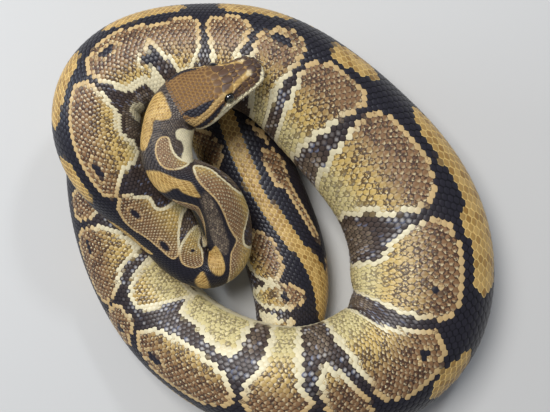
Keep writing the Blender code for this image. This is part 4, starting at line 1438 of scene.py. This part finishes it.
def shield_spots(polygon, kind):
    """Points of one shield on its flat cell: the middle, then the rings, each with its height."""
    outline = soften(polygon, SHIELD_POINTS)
    centre = outline.mean(axis=0)
    spots = [(*centre, 1.0)]
    for share, height in RINGS:
        spots += [(*(centre + (corner - centre) * share), height) for corner in outline]
    spots = np.array(spots)
    if kind != PLAIN:
        spots[0, 2] = NOSTRIL_HEIGHT if kind == HOLED else PIT_HEIGHT
        inner = slice(1, 1 + SHIELD_POINTS)
        spots[inner, :2] = centre + (spots[inner, :2] - centre) * 0.8
    return spots


def build_shields():
    tree = skin_tree()
    place, size, kind, root_back = shield_roots(tree)
    normals = np.array([tree.find_nearest(Vector(point))[1] for point in place])
    heading = body.frames(root_back)[1]
    first = unit(heading - np.sum(heading * normals, axis=1, keepdims=True) * normals)
    second = np.cross(normals, first)
    shields = []
    for i in range(len(place)):
        polygon = shield_cell(i, place, size, normals, first, second)
        if len(polygon) > 2 and np.ptp(polygon, axis=0).min() >= SMALLEST_SHIELD:
            shields.append((i, shield_spots(polygon, kind[i])))
    vertices = np.empty((len(shields), 1 + len(RINGS) * SHIELD_POINTS, 3))
    along = np.empty(vertices.shape[:2])
    for row, (i, spots) in enumerate(shields):
        for column, (x, y, height) in enumerate(spots):
            flat = place[i] + first[i] * x + second[i] * y
            found, normal, *_ = tree.find_nearest(Vector(flat))
            outward = normals[i] * 0.4 + np.array(normal) * 0.6
            vertices[row, column] = np.array(found) + outward * height * COAT
            along[row, column] = root_back[i] + x
    kept = [i for i, _ in shields]
    middle, right, crown = head_axes(np.clip(root_back, 0, HEAD_LENGTH))
    away = place - middle
    share = np.arctan2(np.sum(away * right, axis=1), np.sum(away * crown, axis=1)) / math.pi
    return vertices, along, kind[kept], root_back[kept], share[kept]


shield_vertices, vertex_back, shield_kind, shield_back, shield_g = build_shields()
count, each = shield_vertices.shape[:2]
shield_values = {name: np.zeros(count * each) for name in MARKS}
flat_back = np.clip(vertex_back.ravel(), 0, HEAD_MARKS_END)
shield_values.update(marks_round_head(flat_back, shield_vertices.reshape(-1, 3)))
front = 1 - smooth_step(20, 27, shield_back)
shield_values["head"] = np.repeat(1 - 0.6 * front, each)
# painted shade in the hollows of the heat pits and nostrils: their middles, and more lightly their inner
# rings, take the spot mark's dark
pit = np.zeros((count, each))
pit[:, 0] = shield_kind != PLAIN
pit[:, 1 : 1 + SHIELD_POINTS] = 0.35 * (shield_kind != PLAIN)[:, None]
shield_values["spot"] = pit.ravel()
shield_values["chance"] = np.repeat(draw.uniform(0.2, 0.8, count), each)
ring_edges = np.repeat([0.0, 0.1, 0.45, 1.0, 1.0], [1] + [SHIELD_POINTS] * len(RINGS))
shield_values["edge"] = np.tile(ring_edges, count)
shields = coat_piece(
    "head_shields", shield_vertices, shield_faces(), shield_values,
    shield_back / (HEAD_LENGTH + 3), shield_g, SHIELD_SHARP,
)  # fmt: skip
print("head shields:", count, "faces:", len(shields.data.polygons))


# %% [markdown]
# ## Eyes
# A snake has no lids: a clear scale covers the eye, which the ball's glossy coat stands for here, and
# round it the skin makes a neat ring. The iris is dark olive with an upright slit of a pupil, so the pole
# of a fine sphere is turned outwards and the rings round that pole carry them.

# %% Eye finish
def eye_finish():
    recipe = Recipe("python eye")
    iris, pupil = recipe.mark("iris"), recipe.mark("pupil")
    flecks = recipe.noise(1800, 3.0)
    colour = recipe.mix(flecks, display(52, 50, 38), display(98, 92, 66))
    colour = recipe.mix(iris, display(14, 12, 11), colour)
    colour = recipe.mix(pupil, colour, display(4, 4, 5))
    recipe.set(Base_Color=colour, Roughness=0.06, Coat_Weight=1.0, Coat_Roughness=0.03)
    return recipe.finish


# %% Build the eyes
def build_eye(name, side, finish):
    centre = head_place(EYE_BACK, side * EYE_OUT, EYE_UP)
    _, right, crown = (axis[0] for axis in head_axes(np.array([EYE_BACK])))
    outward = Vector(right * side + crown * 0.12).normalized()
    upright = (Vector(crown) - Vector(crown).dot(outward) * outward).normalized()
    radius = EYE_RADIUS * MM
    bpy.ops.mesh.primitive_uv_sphere_add(segments=48, ring_count=32, radius=radius, location=(0, 0, 0))
    eye = bpy.context.object
    eye.name = name
    points = np.array([vertex.co for vertex in eye.data.vertices]) / radius
    iris = 1 - smooth_step(0.60, 0.68, np.hypot(points[:, 0], points[:, 1]))
    slit = np.hypot(points[:, 0] / 0.13, points[:, 1] / 0.46)
    pupil = (1 - smooth_step(0.8, 1.1, slit)) * (points[:, 2] > 0)
    across = upright.cross(outward)
    for vertex, (x, y, z) in zip(eye.data.vertices, points):
        spoke = across * float(x) + upright * float(y) + outward * float(z)
        vertex.co = (Vector(centre) + spoke * EYE_RADIUS) * MM
    eye.data.materials.append(finish)
    set_marks(eye.data, {"iris": iris * (points[:, 2] > 0), "pupil": pupil})
    bpy.ops.object.shade_smooth()
    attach(eye, "root")
    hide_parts(name.replace("ball", "eye"))
    return eye


finish_of_eyes = eye_finish()
for name, side in (("ball_right", 1), ("ball_left", -1)):
    eye = build_eye(name, side, finish_of_eyes)
    print(name, [round(value / MM, 1) for value in eye.dimensions])
